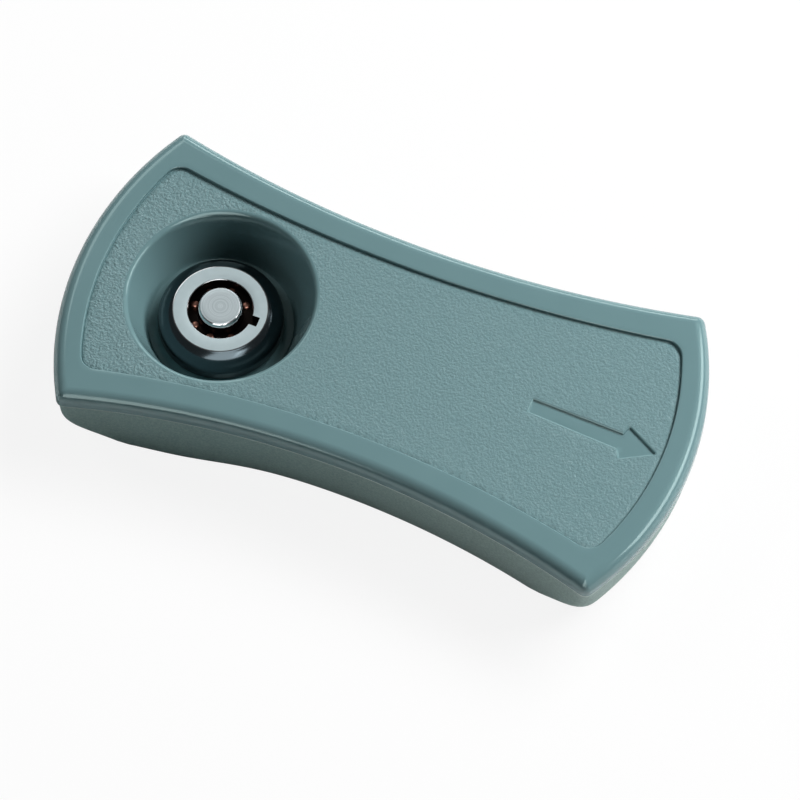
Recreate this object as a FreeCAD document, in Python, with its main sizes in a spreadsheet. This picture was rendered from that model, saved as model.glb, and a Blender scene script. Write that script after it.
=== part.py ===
import FreeCAD, Part
import math
import os
import Sketcher

# Hatch lock. A waisted moulded cover slides along a steel base plate that is
# bolted to the hatch from below. A tubular key lock stands in a round well of
# the cover; its cam swings into the base plate and holds the cover in or out.
# Millimetres. X runs along the arrow, Z is up, and the origin is in the middle
# of the footprint, on the surface that the base plate is bolted to.

doc = FreeCAD.newDocument("HatchLock")
sheet = doc.addObject("Spreadsheet::Sheet", "Sizes")
sheet_rows = []
HALF_ROUND = "half round"
RIGHT_ROUND = "right round"
OVER = 1.0
TOUCHING = 0.02


class Dim:
    """A length: its value now, and the formula that the document keeps it by."""

    def __init__(self, value, text):
        self.value = value
        self.text = text

    def __add__(self, other):
        other = dim(other)
        return Dim(self.value + other.value, f"({self.text} + {other.text})")

    def __sub__(self, other):
        other = dim(other)
        return Dim(self.value - other.value, f"({self.text} - {other.text})")

    def __mul__(self, other):
        other = dim(other)
        return Dim(self.value * other.value, f"({self.text} * {other.text})")

    def __truediv__(self, other):
        other = dim(other)
        return Dim(self.value / other.value, f"({self.text} / {other.text})")

    def __radd__(self, other):
        return dim(other) + self

    def __rsub__(self, other):
        return dim(other) - self

    def __rmul__(self, other):
        return dim(other) * self

    def __neg__(self):
        return Dim(-self.value, f"(0 - {self.text})")


def dim(value):
    """A plain number as a length, so that both can stand in one sum."""
    if isinstance(value, Dim):
        return value
    return Dim(float(value), f"({float(value):.6f})")


def root(square):
    return Dim(math.sqrt(square.value), f"sqrt({square.text})")


def along(radius, degrees):
    """The X part of a radius that stands at an angle."""
    part = math.cos(math.radians(degrees))
    return Dim(radius.value * part, f"({radius.text} * cos({degrees} deg))")


def across(radius, degrees):
    """The Y part of a radius that stands at an angle."""
    part = math.sin(math.radians(degrees))
    return Dim(radius.value * part, f"({radius.text} * sin({degrees} deg))")


def size(alias, value, note):
    """Write one driving dimension to the sheet and hand it back."""
    sheet_rows.append(alias)
    row = len(sheet_rows)
    sheet.set(f"A{row}", note)
    sheet.set(f"B{row}", str(value))
    sheet.setAlias(f"B{row}", alias)
    return Dim(float(value), f"Sizes.{alias}")


# Driving dimensions: the cover seen from above
cover_length = size("cover_length", 99.3, "tip to tip of the end arcs")
cover_height = size("cover_height", 16.0, "deck to the highest point of the crown")
side_radius = size("side_radius", 166.5, "hollow of the long sides")
end_radius = size("end_radius", 48.0, "round of the ends")
corner_radius = size("corner_radius", 2.3, "upright corners")
crown_radius = size("crown_radius", 553.0, "arch of the top along the arrow")
edge_round = size("edge_round", 2.0, "rounding of the top's outer edge")
parting_drop = size("parting_drop", 3.0, "crown down to the parting line")
parting_step = size("parting_step", 0.15, "step in under the parting line")
waist_inset = size("waist_inset", 1.6, "how far the foot of the side stands in at the waist")
end_inset = size("end_inset", 2.5, "how far the foot of the end stands in")
foot_side_radius = size("foot_side_radius", 145.0, "hollow of the long sides at the foot")
foot_corner_radius = size("foot_corner_radius", 10.4, "upright corners at the foot")
shoulder_height = size("shoulder_height", 5.1, "where the corners begin to draw in")
shoulder_share = size("shoulder_share", 0.21, "share of the insets reached there")
shoulder_corner = size("shoulder_corner", 2.9, "upright corners there")
wall = size("wall", 1.8, "side wall at the foot")
ceiling = size("ceiling", 2.6, "thickness of the top")
floor_gap = size("floor_gap", 0.3, "air under the sliding parts")

# Driving dimensions: the sunk panel and the arrow
rim_end = size("rim_end", 4.35, "rim between the panel and the cover's tip")
rim_side = size("rim_side", 5.0, "rim between the panel and the cover's side, at the waist")
panel_side_radius = size("panel_side_radius", 198.0, "hollow of the panel's sides")
panel_end_radius = size("panel_end_radius", 45.6, "round of the panel's ends")
panel_corner = size("panel_corner", 3.4, "panel corners")
panel_depth = size("panel_depth", 0.55, "how far the panel is sunk")
arrow_gap = size("arrow_gap", 1.6, "arrow's tip to the end of the panel")
arrow_length = size("arrow_length", 19.9, "tail to tip")
arrow_shaft = size("arrow_shaft", 2.1, "width of the arrow's shaft")
arrow_head = size("arrow_head", 5.2, "width of the arrow's head")
arrow_point = size("arrow_point", 5.0, "length of the arrow's head")
arrow_depth = size("arrow_depth", 0.4, "how far the arrow is sunk into the panel")

# Driving dimensions: the slide
travel = size("travel", 14.0, "how far the cover slides")
run = size("run", 0.05, "running clearance of sliding faces")
foot_thickness = size("foot_thickness", 1.6, "base plate under its flanges")
flange_thickness = size("flange_thickness", 1.4, "flange of the base plate")
flange_reach = size("flange_reach", 2.2, "flange out from the base plate's foot")
nose_room = size("nose_room", 8.65, "base plate's end to the cover's tip")
base_corner = size("base_corner", 2.0, "corners of the base plate")
liner_wall = size("liner_wall", 0.45, "plastic liner of a rail")
rail_leg = size("rail_leg", 0.8, "legs of a rail")
rail_web = size("rail_web", 1.7, "web of a rail")
lip_gap = size("lip_gap", 0.2, "rail lip to the side of the base plate's foot")
rail_gap = size("rail_gap", 0.9, "rail to the inside of the cover's wall, at the waist")
ear_room = size("ear_room", 15.65, "rail's screws to the cover's tips")
ear_inset = size("ear_inset", 2.9, "rail's screws inside the line of the waist")
rail_tail = size("rail_tail", 5.0, "rail behind its rear screw")
rail_nose = size("rail_nose", 6.0, "rail in front of its front screw")
ear_radius = size("ear_radius", 2.7, "ear round a rail's screw")
mount_near = size("mount_near", -3.0, "mid-length to the first pair of bolt holes")
mount_pitch = size("mount_pitch", 28.0, "bolt holes along the plate")
mount_width = size("mount_width", 15.0, "bolt holes across the plate")
mount_hole = size("mount_hole", 4.0, "thread of the bolts from below")

# Driving dimensions: stop, tongue and fasteners
stop_land = size("stop_land", 7.0, "stop pin, with the cover out, to the base plate's end")
stop_pin_width = size("stop_pin_width", 3.0, "stop pin")
stop_bush_wall = size("stop_bush_wall", 0.9, "bush on the stop pin")
stop_pin_depth = size("stop_pin_depth", 5.0, "stop pin in the cover")
tongue_length = size("tongue_length", 14.6, "tongue, rear edge to its lip")
tongue_gap = size("tongue_gap", 1.5, "tongue to the rails beside it")
tongue_thickness = size("tongue_thickness", 1.0, "tongue")
tongue_screw_back = size("tongue_screw_back", 10.1, "tongue's screws behind its lip")
tongue_screw_gap = size("tongue_screw_gap", 12.0, "between the tongue's screws")
bumper_length = size("bumper_length", 1.3, "rubber between base plate and tongue")
bumper_width = size("bumper_width", 11.0, "rubber between base plate and tongue")
screw_width = size("screw_width", 2.5, "thread of the cover's screws")
screw_head = size("screw_head", 4.6, "heads of the cover's screws")
screw_sink = size("screw_sink", 1.4, "height of a countersunk head")
insert_wall = size("insert_wall", 0.7, "wall of a threaded insert")
insert_length = size("insert_length", 4.0, "threaded insert")
boss_wall = size("boss_wall", 1.2, "plastic round an insert")

# Driving dimensions: the well and the lock
lock_setback = size("lock_setback", 23.25, "lock's axis to the cover's rear tip")
head_gap = size("head_gap", 1.5, "lock's head to the wall of the well, at its floor")
well_flare = size("well_flare", 3.2, "how much wider the well is at the panel")
mouth_rim = size("mouth_rim", 0.1, "well's mouth inside the panel's waist line")
well_lip = size("well_lip", 1.0, "rounding of the well's mouth")
well_wall = size("well_wall", 1.8, "plastic round the well")
ledge = size("ledge", 1.2, "thickness of the well's floor")
gasket = size("gasket", 0.3, "seal under the lock's head")
head_height = size("head_height", 4.6, "seal to the ring face")
head_radius = size("head_radius", 9.7, "foot of the lock's head")
ring_radius = size("ring_radius", 7.3, "outer edge of the ring face")
head_band = size("head_band", 0.5, "upright band at the foot of the head")
dome_radius = size("dome_radius", 6.0, "bulge of the head's side")
keyway_radius = size("keyway_radius", 4.98, "outer wall of the keyway")
keyway_depth = size("keyway_depth", 2.2, "ring face to the plug")
notch_width = size("notch_width", 1.6, "notch for the key's lug")
notch_reach = size("notch_reach", 6.2, "axis to the notch's outer wall")
shank_radius = size("shank_radius", 7.4, "shank of the barrel")
shank_flat = size("shank_flat", 6.9, "axis to a flat of the shank")
shank_play = size("shank_play", 0.1, "shank in the cover's floor")
slot_play = size("slot_play", 0.3, "shank in the base plate's fork")
bore_radius = size("bore_radius", 5.6, "bore of the barrel")
turn_play = size("turn_play", 0.05, "running clearance of turning parts")
post_radius = size("post_radius", 3.47, "post in the middle of the keyway")
post_face = size("post_face", 2.95, "flat end of the post")
post_proud = size("post_proud", 0.9, "post above the ring face")
plug_height = size("plug_height", 2.3, "shoulder of the plug that holds the key pins")
tail_radius = size("tail_radius", 2.4, "spindle of the plug")
tail_square = size("tail_square", 3.4, "square end of the spindle")
pin_pitch = size("pin_pitch", 4.2, "axis to the pins")
pin_width = size("pin_width", 1.2, "pins")
pin_stand = size("pin_stand", 0.35, "shortest key pin above the plug")
pin_cut_step = size("pin_cut_step", 0.2, "difference of one key depth")
driver_length = size("driver_length", 1.5, "driver pins")
sleeve_floor = size("sleeve_floor", 0.5, "sleeve under its springs")
sleeve_pin_width = size("sleeve_pin_width", 1.0, "pin that holds the sleeve")
sleeve_pin_height = size("sleeve_pin_height", 0.9, "sleeve's foot to the pin's axis")
end_air = size("end_air", 0.2, "air at the ends of the sleeve's pin and round the washer")
thread_spare = size("thread_spare", 0.5, "thread left beyond the end of a screw")
clip_thickness = size("clip_thickness", 0.75, "spring clip under the well's floor")
clip_groove = size("clip_groove", 0.5, "depth of the clip's grooves")
clip_arm = size("clip_arm", 2.6, "width of the clip's arms")
cam_thickness = size("cam_thickness", 0.9, "cam")
cam_reach = size("cam_reach", 10.6, "axis to the cam's tip")
cam_width = size("cam_width", 5.0, "cam")
cam_hub = size("cam_hub", 3.9, "round end of the cam")
cam_play = size("cam_play", 0.4, "cam in its notch")
cam_screw_head = size("cam_screw_head", 0.5, "height of the cam screw's head")
cam_screw_radius = size("cam_screw_radius", 2.4, "cam screw's head")
cam_screw_length = size("cam_screw_length", 2.6, "cam screw in the plug")
cam_screw_width = size("cam_screw_width", 2.0, "thread of the cam screw")
cam_clear = size("cam_clear", 0.2, "deck to the cam screw")
washer_thickness = size("washer_thickness", 0.4, "stop washer")
washer_tab = size("washer_tab", 1.0, "reach of the stop washer's tab")
washer_tab_width = size("washer_tab_width", 1.6, "stop washer's tab")

doc.recompute()

# Heights that follow from the driving dimensions, from the deck upwards
base_top = foot_thickness + flange_thickness
seat = base_top + run + liner_wall + rail_leg
ledge_top = seat + ledge
head_seat = ledge_top + gasket
ring_height = head_seat + head_height
plug_top = ring_height - keyway_depth
shear = plug_top - plug_height
cam_foot = cam_clear + cam_screw_head
cam_top = cam_foot + cam_thickness
washer_top = cam_top + washer_thickness
barrel_foot = cam_top + turn_play
sleeve_foot = washer_top + turn_play
sleeve_top = shear - turn_play

# Widths that follow: the lock sets the well, the well the panel and the panel
# the cover; from its walls the rails and the base plate are measured inwards
well_floor = head_radius + head_gap
well_mouth = well_floor + well_flare
half_panel = well_mouth + mouth_rim
half_waist = half_panel + rim_side
rail_outer = half_waist - waist_inset - wall - rail_gap
liner_outer = rail_outer - rail_web
flange_half = liner_outer - liner_wall - run
foot_half = flange_half - flange_reach
rail_inner = foot_half + lip_gap
tongue_half = rail_inner - tongue_gap
ear_offset = half_waist - ear_inset

# Lengths that follow, from the cover's tips inwards
half_length = cover_length / 2
panel_tip = half_length - rim_end
arrow_tip = panel_tip - arrow_gap
arrow_start = arrow_tip - arrow_length
lock_axis = lock_setback - half_length
base_start = lock_axis + cam_width / 2 + cam_play
slot_half = shank_radius + slot_play
washer_radius = bore_radius - end_air
far_axis = lock_axis + travel
base_end = half_length - nose_room
stop_reach = base_end - stop_land - travel
tongue_tip = base_end + floor_gap + bumper_length
tongue_start = tongue_tip - tongue_length
tongue_screw_reach = tongue_tip - tongue_screw_back
ear_reach = half_length - ear_room
rail_start = ear_reach + rail_tail
rail_end = ear_reach + rail_nose
beyond = half_length + OVER * 2


def point(x, y):
    return FreeCAD.Vector(x, y, 0)


def bind(thing, path, amount):
    """Tie one property of an object to the formula of a length."""
    thing.setExpression(path, dim(amount).text)


def measure(sketch, kind, amount, *where):
    """Add one dimension to a sketch and tie it to the formula of a length."""
    amount = dim(amount)
    index = sketch.addConstraint(Sketcher.Constraint(kind, *where, amount.value))
    sketch.setExpression(f"Constraints[{index}]", amount.text)


def pin_down(sketch, shape, end, x, y):
    """Give one point of a sketch its place from the sketch's origin."""
    measure(sketch, "DistanceX", x, -1, 1, shape, end)
    measure(sketch, "DistanceY", y, -1, 1, shape, end)


def outline(sketch, corners):
    """Close an outline through (x, y) corners. A corner with a third value is
    reached by an arc of that radius: its centre lies to the left, or to the
    right where the radius is negative. HALF_ROUND in its place makes the arc
    a half circle across X or Y, with its centre to the left, and RIGHT_ROUND
    one with its centre to the right."""
    ends = []
    count = len(corners)
    for index in range(count):
        here = corners[index - 1]
        there = corners[index]
        ax, ay = dim(here[0]).value, dim(here[1]).value
        bx, by = dim(there[0]).value, dim(there[1]).value
        if len(there) == 2:
            shape = sketch.addGeometry(Part.LineSegment(point(ax, ay), point(bx, by)))
            ends.append((shape, 1, 2))
            continue
        chord = math.hypot(bx - ax, by - ay)
        radius = dim({HALF_ROUND: chord / 2, RIGHT_ROUND: -chord / 2}.get(there[2], there[2]))
        side = 1 if radius.value > 0 else -1
        reach = abs(radius.value)
        height = math.sqrt(max(reach * reach - chord * chord / 4, 0)) * side
        cx = (ax + bx) / 2 - (by - ay) / chord * height
        cy = (ay + by) / 2 + (bx - ax) / chord * height
        first = math.atan2(ay - cy, ax - cx)
        last = math.atan2(by - cy, bx - cx)
        if side < 0:
            first, last = last, first
        if last < first:
            last += 2 * math.pi
        circle = Part.Circle(point(cx, cy), FreeCAD.Vector(0, 0, 1), reach)
        shape = sketch.addGeometry(Part.ArcOfCircle(circle, first, last))
        ends.append((shape, 1, 2) if side > 0 else (shape, 2, 1))
    for index in range(count):
        before, here = ends[index - 1], ends[index]
        sketch.addConstraint(Sketcher.Constraint("Coincident", before[0], before[2], here[0], here[1]))
    for index in range(count):
        pin_down(sketch, ends[index][0], ends[index][2], corners[index][0], corners[index][1])
    for index in range(count):
        if len(corners[index]) == 2:
            continue
        if corners[index][2] in (HALF_ROUND, RIGHT_ROUND):
            upright = abs(dim(corners[index][0]).value - dim(corners[index - 1][0]).value) < 0.001
            kind, place = ("DistanceX", 0) if upright else ("DistanceY", 1)
            measure(sketch, kind, corners[index][place], -1, 1, ends[index][0], 3)
            continue
        radius = dim(corners[index][2])
        length = radius if radius.value > 0 else -radius
        measure(sketch, "Radius", length, ends[index][0])


def ring_line(sketch, x, y, radius):
    """Add one circle to a sketch."""
    circle = Part.Circle(point(dim(x).value, dim(y).value), FreeCAD.Vector(0, 0, 1), dim(radius).value)
    shape = sketch.addGeometry(circle)
    pin_down(sketch, shape, 3, x, y)
    measure(sketch, "Radius", radius, shape)


def body_for(name):
    body = doc.addObject("PartDesign::Body", name)
    body.Label = name
    return body


def sketch_in(body, name, role, lift=0):
    """A sketch on one of a body's own origin planes, lifted along its normal."""
    sketch = body.newObject("Sketcher::SketchObject", name)
    plane = [item for item in body.Origin.OriginFeatures if item.Role == role][0]
    sketch.AttachmentSupport = [(plane, "")]
    sketch.MapMode = "FlatFace"
    bind(sketch, "AttachmentOffset.Base.z", lift)
    return sketch


def pad(body, sketch, length, both_ways=False):
    feature = body.newObject("PartDesign::Pad", sketch.Name + "Pad")
    feature.Profile = sketch
    feature.SideType = "Symmetric" if both_ways else "One side"
    bind(feature, "Length", length)
    return feature


def pocket(body, sketch, length=None, upward=False, both_ways=False):
    """Cut a sketch out of a body, to a depth or right through."""
    feature = body.newObject("PartDesign::Pocket", sketch.Name + "Pocket")
    feature.Profile = sketch
    feature.SideType = "Symmetric" if both_ways else "One side"
    feature.Reversed = upward
    if length is None:
        feature.Type = "ThroughAll"
    else:
        bind(feature, "Length", length)
    return feature


def turned(name, corners):
    """A body turned about its own Z axis from an outline of (radius, height)."""
    body = body_for(name)
    sketch = sketch_in(body, name + "Profile", "XZ_Plane")
    outline(sketch, corners)
    feature = body.newObject("PartDesign::Revolution", name + "Turned")
    feature.Profile = sketch
    feature.ReferenceAxis = (sketch, ["V_Axis"])
    feature.Angle = 360
    return body


def stand(thing, x=0, y=0, z=0):
    """Place an object in the lock's frame."""
    bind(thing, "Placement.Base.x", x)
    bind(thing, "Placement.Base.y", y)
    bind(thing, "Placement.Base.z", z)
    return thing


def group(name, members):
    """Identical pieces that share a node, each a solid of its own."""
    shared = doc.addObject("Part::Compound", name)
    shared.Links = members
    shared.Label = name
    return shared


def cylinder(name, radius, height, x, y, z):
    drum = doc.addObject("Part::Cylinder", name)
    bind(drum, "Radius", radius)
    bind(drum, "Height", height)
    return stand(drum, x, y, z)


def cone(name, low_radius, high_radius, height, x, y, z):
    taper = doc.addObject("Part::Cone", name)
    bind(taper, "Radius1", low_radius)
    bind(taper, "Radius2", high_radius)
    bind(taper, "Height", height)
    return stand(taper, x, y, z)


def box(name, x, y, z, length, width, height):
    """A block whose place is its lowest corner."""
    block = doc.addObject("Part::Box", name)
    bind(block, "Length", length)
    bind(block, "Width", width)
    bind(block, "Height", height)
    return stand(block, x, y, z)


def fuse(name, *members):
    joined = doc.addObject("Part::MultiFuse", name)
    joined.Shapes = list(members)
    return joined


def common(name, *members):
    shared = doc.addObject("Part::MultiCommon", name)
    shared.Shapes = list(members)
    return shared


def cut(name, base, *tools):
    tool = tools[0] if len(tools) == 1 else fuse(name + "Tools", *tools)
    less = doc.addObject("Part::Cut", name)
    less.Base = base
    less.Tool = tool
    return less


def rounded(name, base, radius, chosen):
    """Round the edges of a solid that the function chosen picks."""
    doc.recompute()
    edges = []
    for index, edge in enumerate(base.Shape.Edges):
        if chosen(edge):
            edges.append((index + 1, radius.value, radius.value))
    print(name, "rounds", len(edges), "edges")
    feature = doc.addObject("Part::Fillet", name)
    feature.Base = base
    feature.Edges = edges
    return feature


def waisted(name, length, waist, hollow, end, corner, height):
    """The waisted outline: two hollow sides, two round ends and four corners.
    Lengths are from the middle; the outline lies flat at a height."""
    sketch = doc.addObject("Sketcher::SketchObject", name)
    stand(sketch, 0, 0, height)
    up = FreeCAD.Vector(0, 0, 1)
    side_centre = point(0, waist.value + hollow.value)
    end_centre = point(length.value - end.value, 0)
    side_reach = hollow.value + corner.value
    end_reach = end.value - corner.value
    apart = side_centre.distanceToPoint(end_centre)
    share = (side_reach ** 2 - end_reach ** 2 + apart ** 2) / (2 * apart)
    offset = math.sqrt(side_reach ** 2 - share ** 2)
    line = (end_centre - side_centre).normalize()
    first = side_centre + line * share + point(-line.y, line.x) * offset
    second = side_centre + line * share - point(-line.y, line.x) * offset
    centre = first if first.x > second.x else second
    on_side = centre + (side_centre - centre).normalize() * corner.value
    on_end = centre + (centre - end_centre).normalize() * corner.value

    def arc(cx, cy, radius, start, stop):
        first_angle = math.atan2(start[1] - cy, start[0] - cx)
        last_angle = math.atan2(stop[1] - cy, stop[0] - cx)
        if last_angle < first_angle:
            last_angle += 2 * math.pi
        circle = Part.Circle(point(cx, cy), up, radius)
        return sketch.addGeometry(Part.ArcOfCircle(circle, first_angle, last_angle))

    sx, sy, ex, ey = on_side.x, on_side.y, on_end.x, on_end.y
    right = arc(end_centre.x, 0, end.value, (ex, -ey), (ex, ey))
    far_right = arc(centre.x, centre.y, corner.value, (ex, ey), (sx, sy))
    far = arc(0, side_centre.y, hollow.value, (-sx, sy), (sx, sy))
    far_left = arc(-centre.x, centre.y, corner.value, (-sx, sy), (-ex, ey))
    left = arc(-end_centre.x, 0, end.value, (-ex, ey), (-ex, -ey))
    near_left = arc(-centre.x, -centre.y, corner.value, (-ex, -ey), (-sx, -sy))
    near = arc(0, -side_centre.y, hollow.value, (sx, -sy), (-sx, -sy))
    near_right = arc(centre.x, -centre.y, corner.value, (sx, -sy), (ex, -ey))

    joints = [(right, 2, far_right, 1), (far_right, 2, far, 2), (far, 1, far_left, 1)]
    joints += [(far_left, 2, left, 1), (left, 2, near_left, 1), (near_left, 2, near, 2)]
    joints += [(near, 1, near_right, 1), (near_right, 2, right, 1)]
    for joint in joints:
        sketch.addConstraint(Sketcher.Constraint("Tangent", *joint))
    pin_down(sketch, right, 3, length - end, 0)
    pin_down(sketch, left, 3, end - length, 0)
    pin_down(sketch, far, 3, 0, waist + hollow)
    pin_down(sketch, near, 3, 0, -(waist + hollow))
    for shape in (right, left):
        measure(sketch, "Radius", end, shape)
    for shape in (far, near):
        measure(sketch, "Radius", hollow, shape)
    for shape in (far_right, far_left, near_left, near_right):
        measure(sketch, "Radius", corner, shape)
    return sketch


def raised(name, sketch, height):
    """A straight block on a flat outline."""
    block = doc.addObject("Part::Extrusion", name)
    block.Base = sketch
    block.DirMode = "Custom"
    block.Dir = FreeCAD.Vector(0, 0, 1)
    block.Solid = True
    bind(block, "LengthFwd", height)
    return block


def crown_height(x, drop):
    """Height of the arched top, or of a surface some way under it, at x."""
    radius = crown_radius - drop
    return cover_height - crown_radius + root(radius * radius - x * x)


def arched(name, upper=None, lower=None):
    """A block as long and wide as the cover, between two arched surfaces that
    lie the given drops under the crown. Without one it is flat there."""
    sketch = doc.addObject("Sketcher::SketchObject", name + "Profile")
    sketch.Placement = FreeCAD.Placement(point(0, 0), FreeCAD.Rotation(point(1, 0), 90))
    corners = []
    above = cover_height + OVER * 2
    if lower is None:
        corners += [(-beyond, -OVER), (beyond, -OVER)]
    else:
        level = crown_height(beyond, lower)
        corners += [(-beyond, level), (beyond, level, lower - crown_radius)]
    if upper is None:
        corners += [(beyond, above), (-beyond, above)]
    else:
        level = crown_height(beyond, upper)
        corners += [(beyond, level), (-beyond, level, crown_radius - upper)]
    outline(sketch, corners)
    block = doc.addObject("Part::Extrusion", name)
    block.Base = sketch
    block.DirMode = "Normal"
    block.Solid = True
    block.Symmetric = True
    bind(block, "LengthFwd", cover_length)
    return block


def on_surface(edge, drop, low, high):
    """True for an edge that lies on an arched surface, within a reach from the
    lock's axis. The reaches are None where they don't matter."""
    middle = edge.valueAt((edge.FirstParameter + edge.LastParameter) / 2)
    radius = crown_radius.value - drop
    level = cover_height.value - crown_radius.value + math.sqrt(radius ** 2 - middle.x ** 2)
    if abs(middle.z - level) > TOUCHING:
        return False
    if low is None:
        return True
    reach = math.hypot(middle.x - lock_axis.value, middle.y)
    return low < reach < high


def cover_outside():
    """The rim above the parting line and the drawn-in body under it."""
    widest = waisted("Widest", half_length, half_waist, side_radius, end_radius, corner_radius, 0)
    rim = common("Rim", raised("RimBlock", widest, cover_height), arched("RimSlab", dim(0), parting_drop))
    rim = rounded("RimRounded", rim, edge_round, lambda edge: on_surface(edge, 0, None, None))
    step = parting_step
    upper = waisted("UnderRim", half_length - step, half_waist - step, side_radius + step,
                    end_radius - step, corner_radius, cover_height - parting_drop)
    share = shoulder_share
    middle = waisted("Shoulder", half_length - step - end_inset * share,
                     half_waist - step - waist_inset * share,
                     side_radius + (foot_side_radius - side_radius) * share,
                     end_radius - step - end_inset * share, shoulder_corner, shoulder_height)
    foot = waisted("Foot", half_length - end_inset, half_waist - waist_inset, foot_side_radius,
                   end_radius - end_inset, foot_corner_radius, floor_gap)
    skirt = doc.addObject("Part::Loft", "Skirt")
    skirt.Sections = [foot, middle, upper]
    skirt.Solid = True
    skirt.Ruled = True
    below = common("SkirtCut", skirt, arched("SkirtSlab", parting_drop, None))
    return fuse("Outside", rim, below)


def cover_shell():
    """The moulded cover: panel, arrow, well, bosses and the hollow inside."""
    panel = waisted("Panel", panel_tip, half_panel, panel_side_radius, panel_end_radius,
                    panel_corner, 0)
    tall = cover_height + OVER * 2
    sunk = common("PanelSunk", raised("PanelBlock", panel, tall),
                  arched("PanelSlab", None, panel_depth))
    shell = cut("WithPanel", cover_outside(), sunk)

    # The arrow's outline, from its tail round to its tail again
    barb = arrow_tip - arrow_point
    sketch = doc.addObject("Sketcher::SketchObject", "Arrow")
    outline(sketch, [(arrow_start, -arrow_shaft / 2), (barb, -arrow_shaft / 2), (barb, -arrow_head / 2),
                     (arrow_tip, 0), (barb, arrow_head / 2), (barb, arrow_shaft / 2),
                     (arrow_start, arrow_shaft / 2)])
    arrow = common("ArrowSunk", raised("ArrowBlock", sketch, tall),
                   arched("ArrowSlab", None, panel_depth + arrow_depth))

    # The well widens from its floor to its mouth and runs out above the panel
    depth = crown_height(lock_axis, panel_depth) - ledge_top
    slope = (well_mouth - well_floor) / depth
    above = depth + OVER * 3
    well = cone("Well", well_floor, well_floor + slope * above, above, lock_axis, 0, ledge_top)
    shell = cut("WithWell", shell, well)
    lip = rounded("WithLip", shell, well_lip,
                  lambda edge: on_surface(edge, panel_depth.value, well_floor.value, well_mouth.value + OVER))
    shell = cut("WithArrow", lip, arrow)

    # The hollow keeps clear of the well's wall and of every boss
    inside = waisted("Inside", half_length - end_inset - wall, half_waist - waist_inset - wall,
                     foot_side_radius + wall, end_radius - end_inset - wall, foot_corner_radius - wall, -OVER)
    hollow = common("Hollow", raised("HollowBlock", inside, cover_height), arched("HollowSlab", ceiling, None))
    tube = cone("WellWall", well_floor + well_wall, well_floor + well_wall + slope * above, above,
                lock_axis, 0, seat)
    posts = [tube]
    insert_radius = screw_width / 2 + insert_wall
    for name, x, y in screw_places():
        posts.append(cylinder("Boss" + name, insert_radius + boss_wall, tall, x, y, seat))
    posts.append(cylinder("BossStop", stop_pin_width / 2 + boss_wall, tall, stop_reach, 0, seat))
    shell = cut("Hollowed", shell, cut("HollowClear", hollow, *posts))

    # Holes: the barrel's shank, the inserts and the stop pin
    hole = cylinder("ShankHole", shank_radius + shank_play, ledge * 3, lock_axis, 0, seat - ledge)
    flats = box("ShankFlats", lock_axis - well_floor, -(shank_flat + shank_play), seat - ledge,
                well_floor * 2, (shank_flat + shank_play) * 2, ledge * 3)
    holes = [common("ShankShape", hole, flats)]
    for name, x, y in screw_places():
        holes.append(cylinder("Seat" + name, insert_radius, insert_length + OVER, x, y, seat - OVER))
    holes.append(cylinder("SeatStop", stop_pin_width / 2, stop_pin_depth + OVER, stop_reach, 0,
                          seat - OVER))
    shell = cut("CoverShell", shell, *holes)
    shell.Label = "cover_shell"
    return shell


def screw_places():
    """Where the cover's screws stand: four through the rails, two in the tongue."""
    places = []
    for x_sign, x_name in ((-1, "Rear"), (1, "Front")):
        for y_sign, y_name in ((-1, "Right"), (1, "Left")):
            places.append((x_name + y_name, ear_reach * x_sign, ear_offset * y_sign))
    for y_sign, y_name in ((-1, "Right"), (1, "Left")):
        places.append(("Tongue" + y_name, tongue_screw_reach, tongue_screw_gap / 2 * y_sign))
    return places


def base_plate():
    """The fixed plate: a foot, two flanges that the rails hold, a fork open to
    the rear for the lock, a notch for its cam and a slot for the stop pin."""
    body = body_for("base_plate")
    half = foot_half
    sketch = sketch_in(body, "BaseFoot", "XY_Plane")
    outline(sketch, [(base_start, -half), (base_end, -half), (base_end, half), (base_start, half)])
    pad(body, sketch, foot_thickness)
    half = flange_half
    inner = half - base_corner
    front = base_end - base_corner
    sketch = sketch_in(body, "BaseFlange", "XY_Plane", foot_thickness)
    outline(sketch, [(base_start, -half), (front, -half), (base_end, -inner, base_corner),
                     (base_end, inner), (front, half, base_corner), (base_start, half)])
    pad(body, sketch, flange_thickness)
    sketch = sketch_in(body, "BaseFork", "XY_Plane")
    outline(sketch, [(base_start - OVER, -slot_half), (far_axis, -slot_half),
                     (far_axis, slot_half, HALF_ROUND), (base_start - OVER, slot_half)])
    pocket(body, sketch, upward=True)
    # Room for the cam to swing into the side of the fork when the cover is out
    side = cam_width / 2 + cam_play
    sweep = cam_reach + cam_play
    inner = slot_half - OVER
    sketch = sketch_in(body, "BaseNotch", "XY_Plane")
    outline(sketch, [(far_axis - root(sweep * sweep - inner * inner), inner, sweep), (far_axis + side, inner),
                     (far_axis + side, root(sweep * sweep - side * side))])
    pocket(body, sketch, upward=True)
    side = stop_pin_width / 2 + stop_bush_wall + run
    sketch = sketch_in(body, "BaseGuide", "XY_Plane")
    outline(sketch, [(stop_reach, -side, HALF_ROUND), (stop_reach + travel, -side),
                     (stop_reach + travel, side, HALF_ROUND), (stop_reach, side)])
    pocket(body, sketch, upward=True)
    sketch = sketch_in(body, "BaseBolts", "XY_Plane")
    for x in (mount_near, mount_near + mount_pitch):
        for sign in (-1, 1):
            ring_line(sketch, x, mount_width / 2 * sign, mount_hole / 2)
    pocket(body, sketch, upward=True)
    return body


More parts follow.
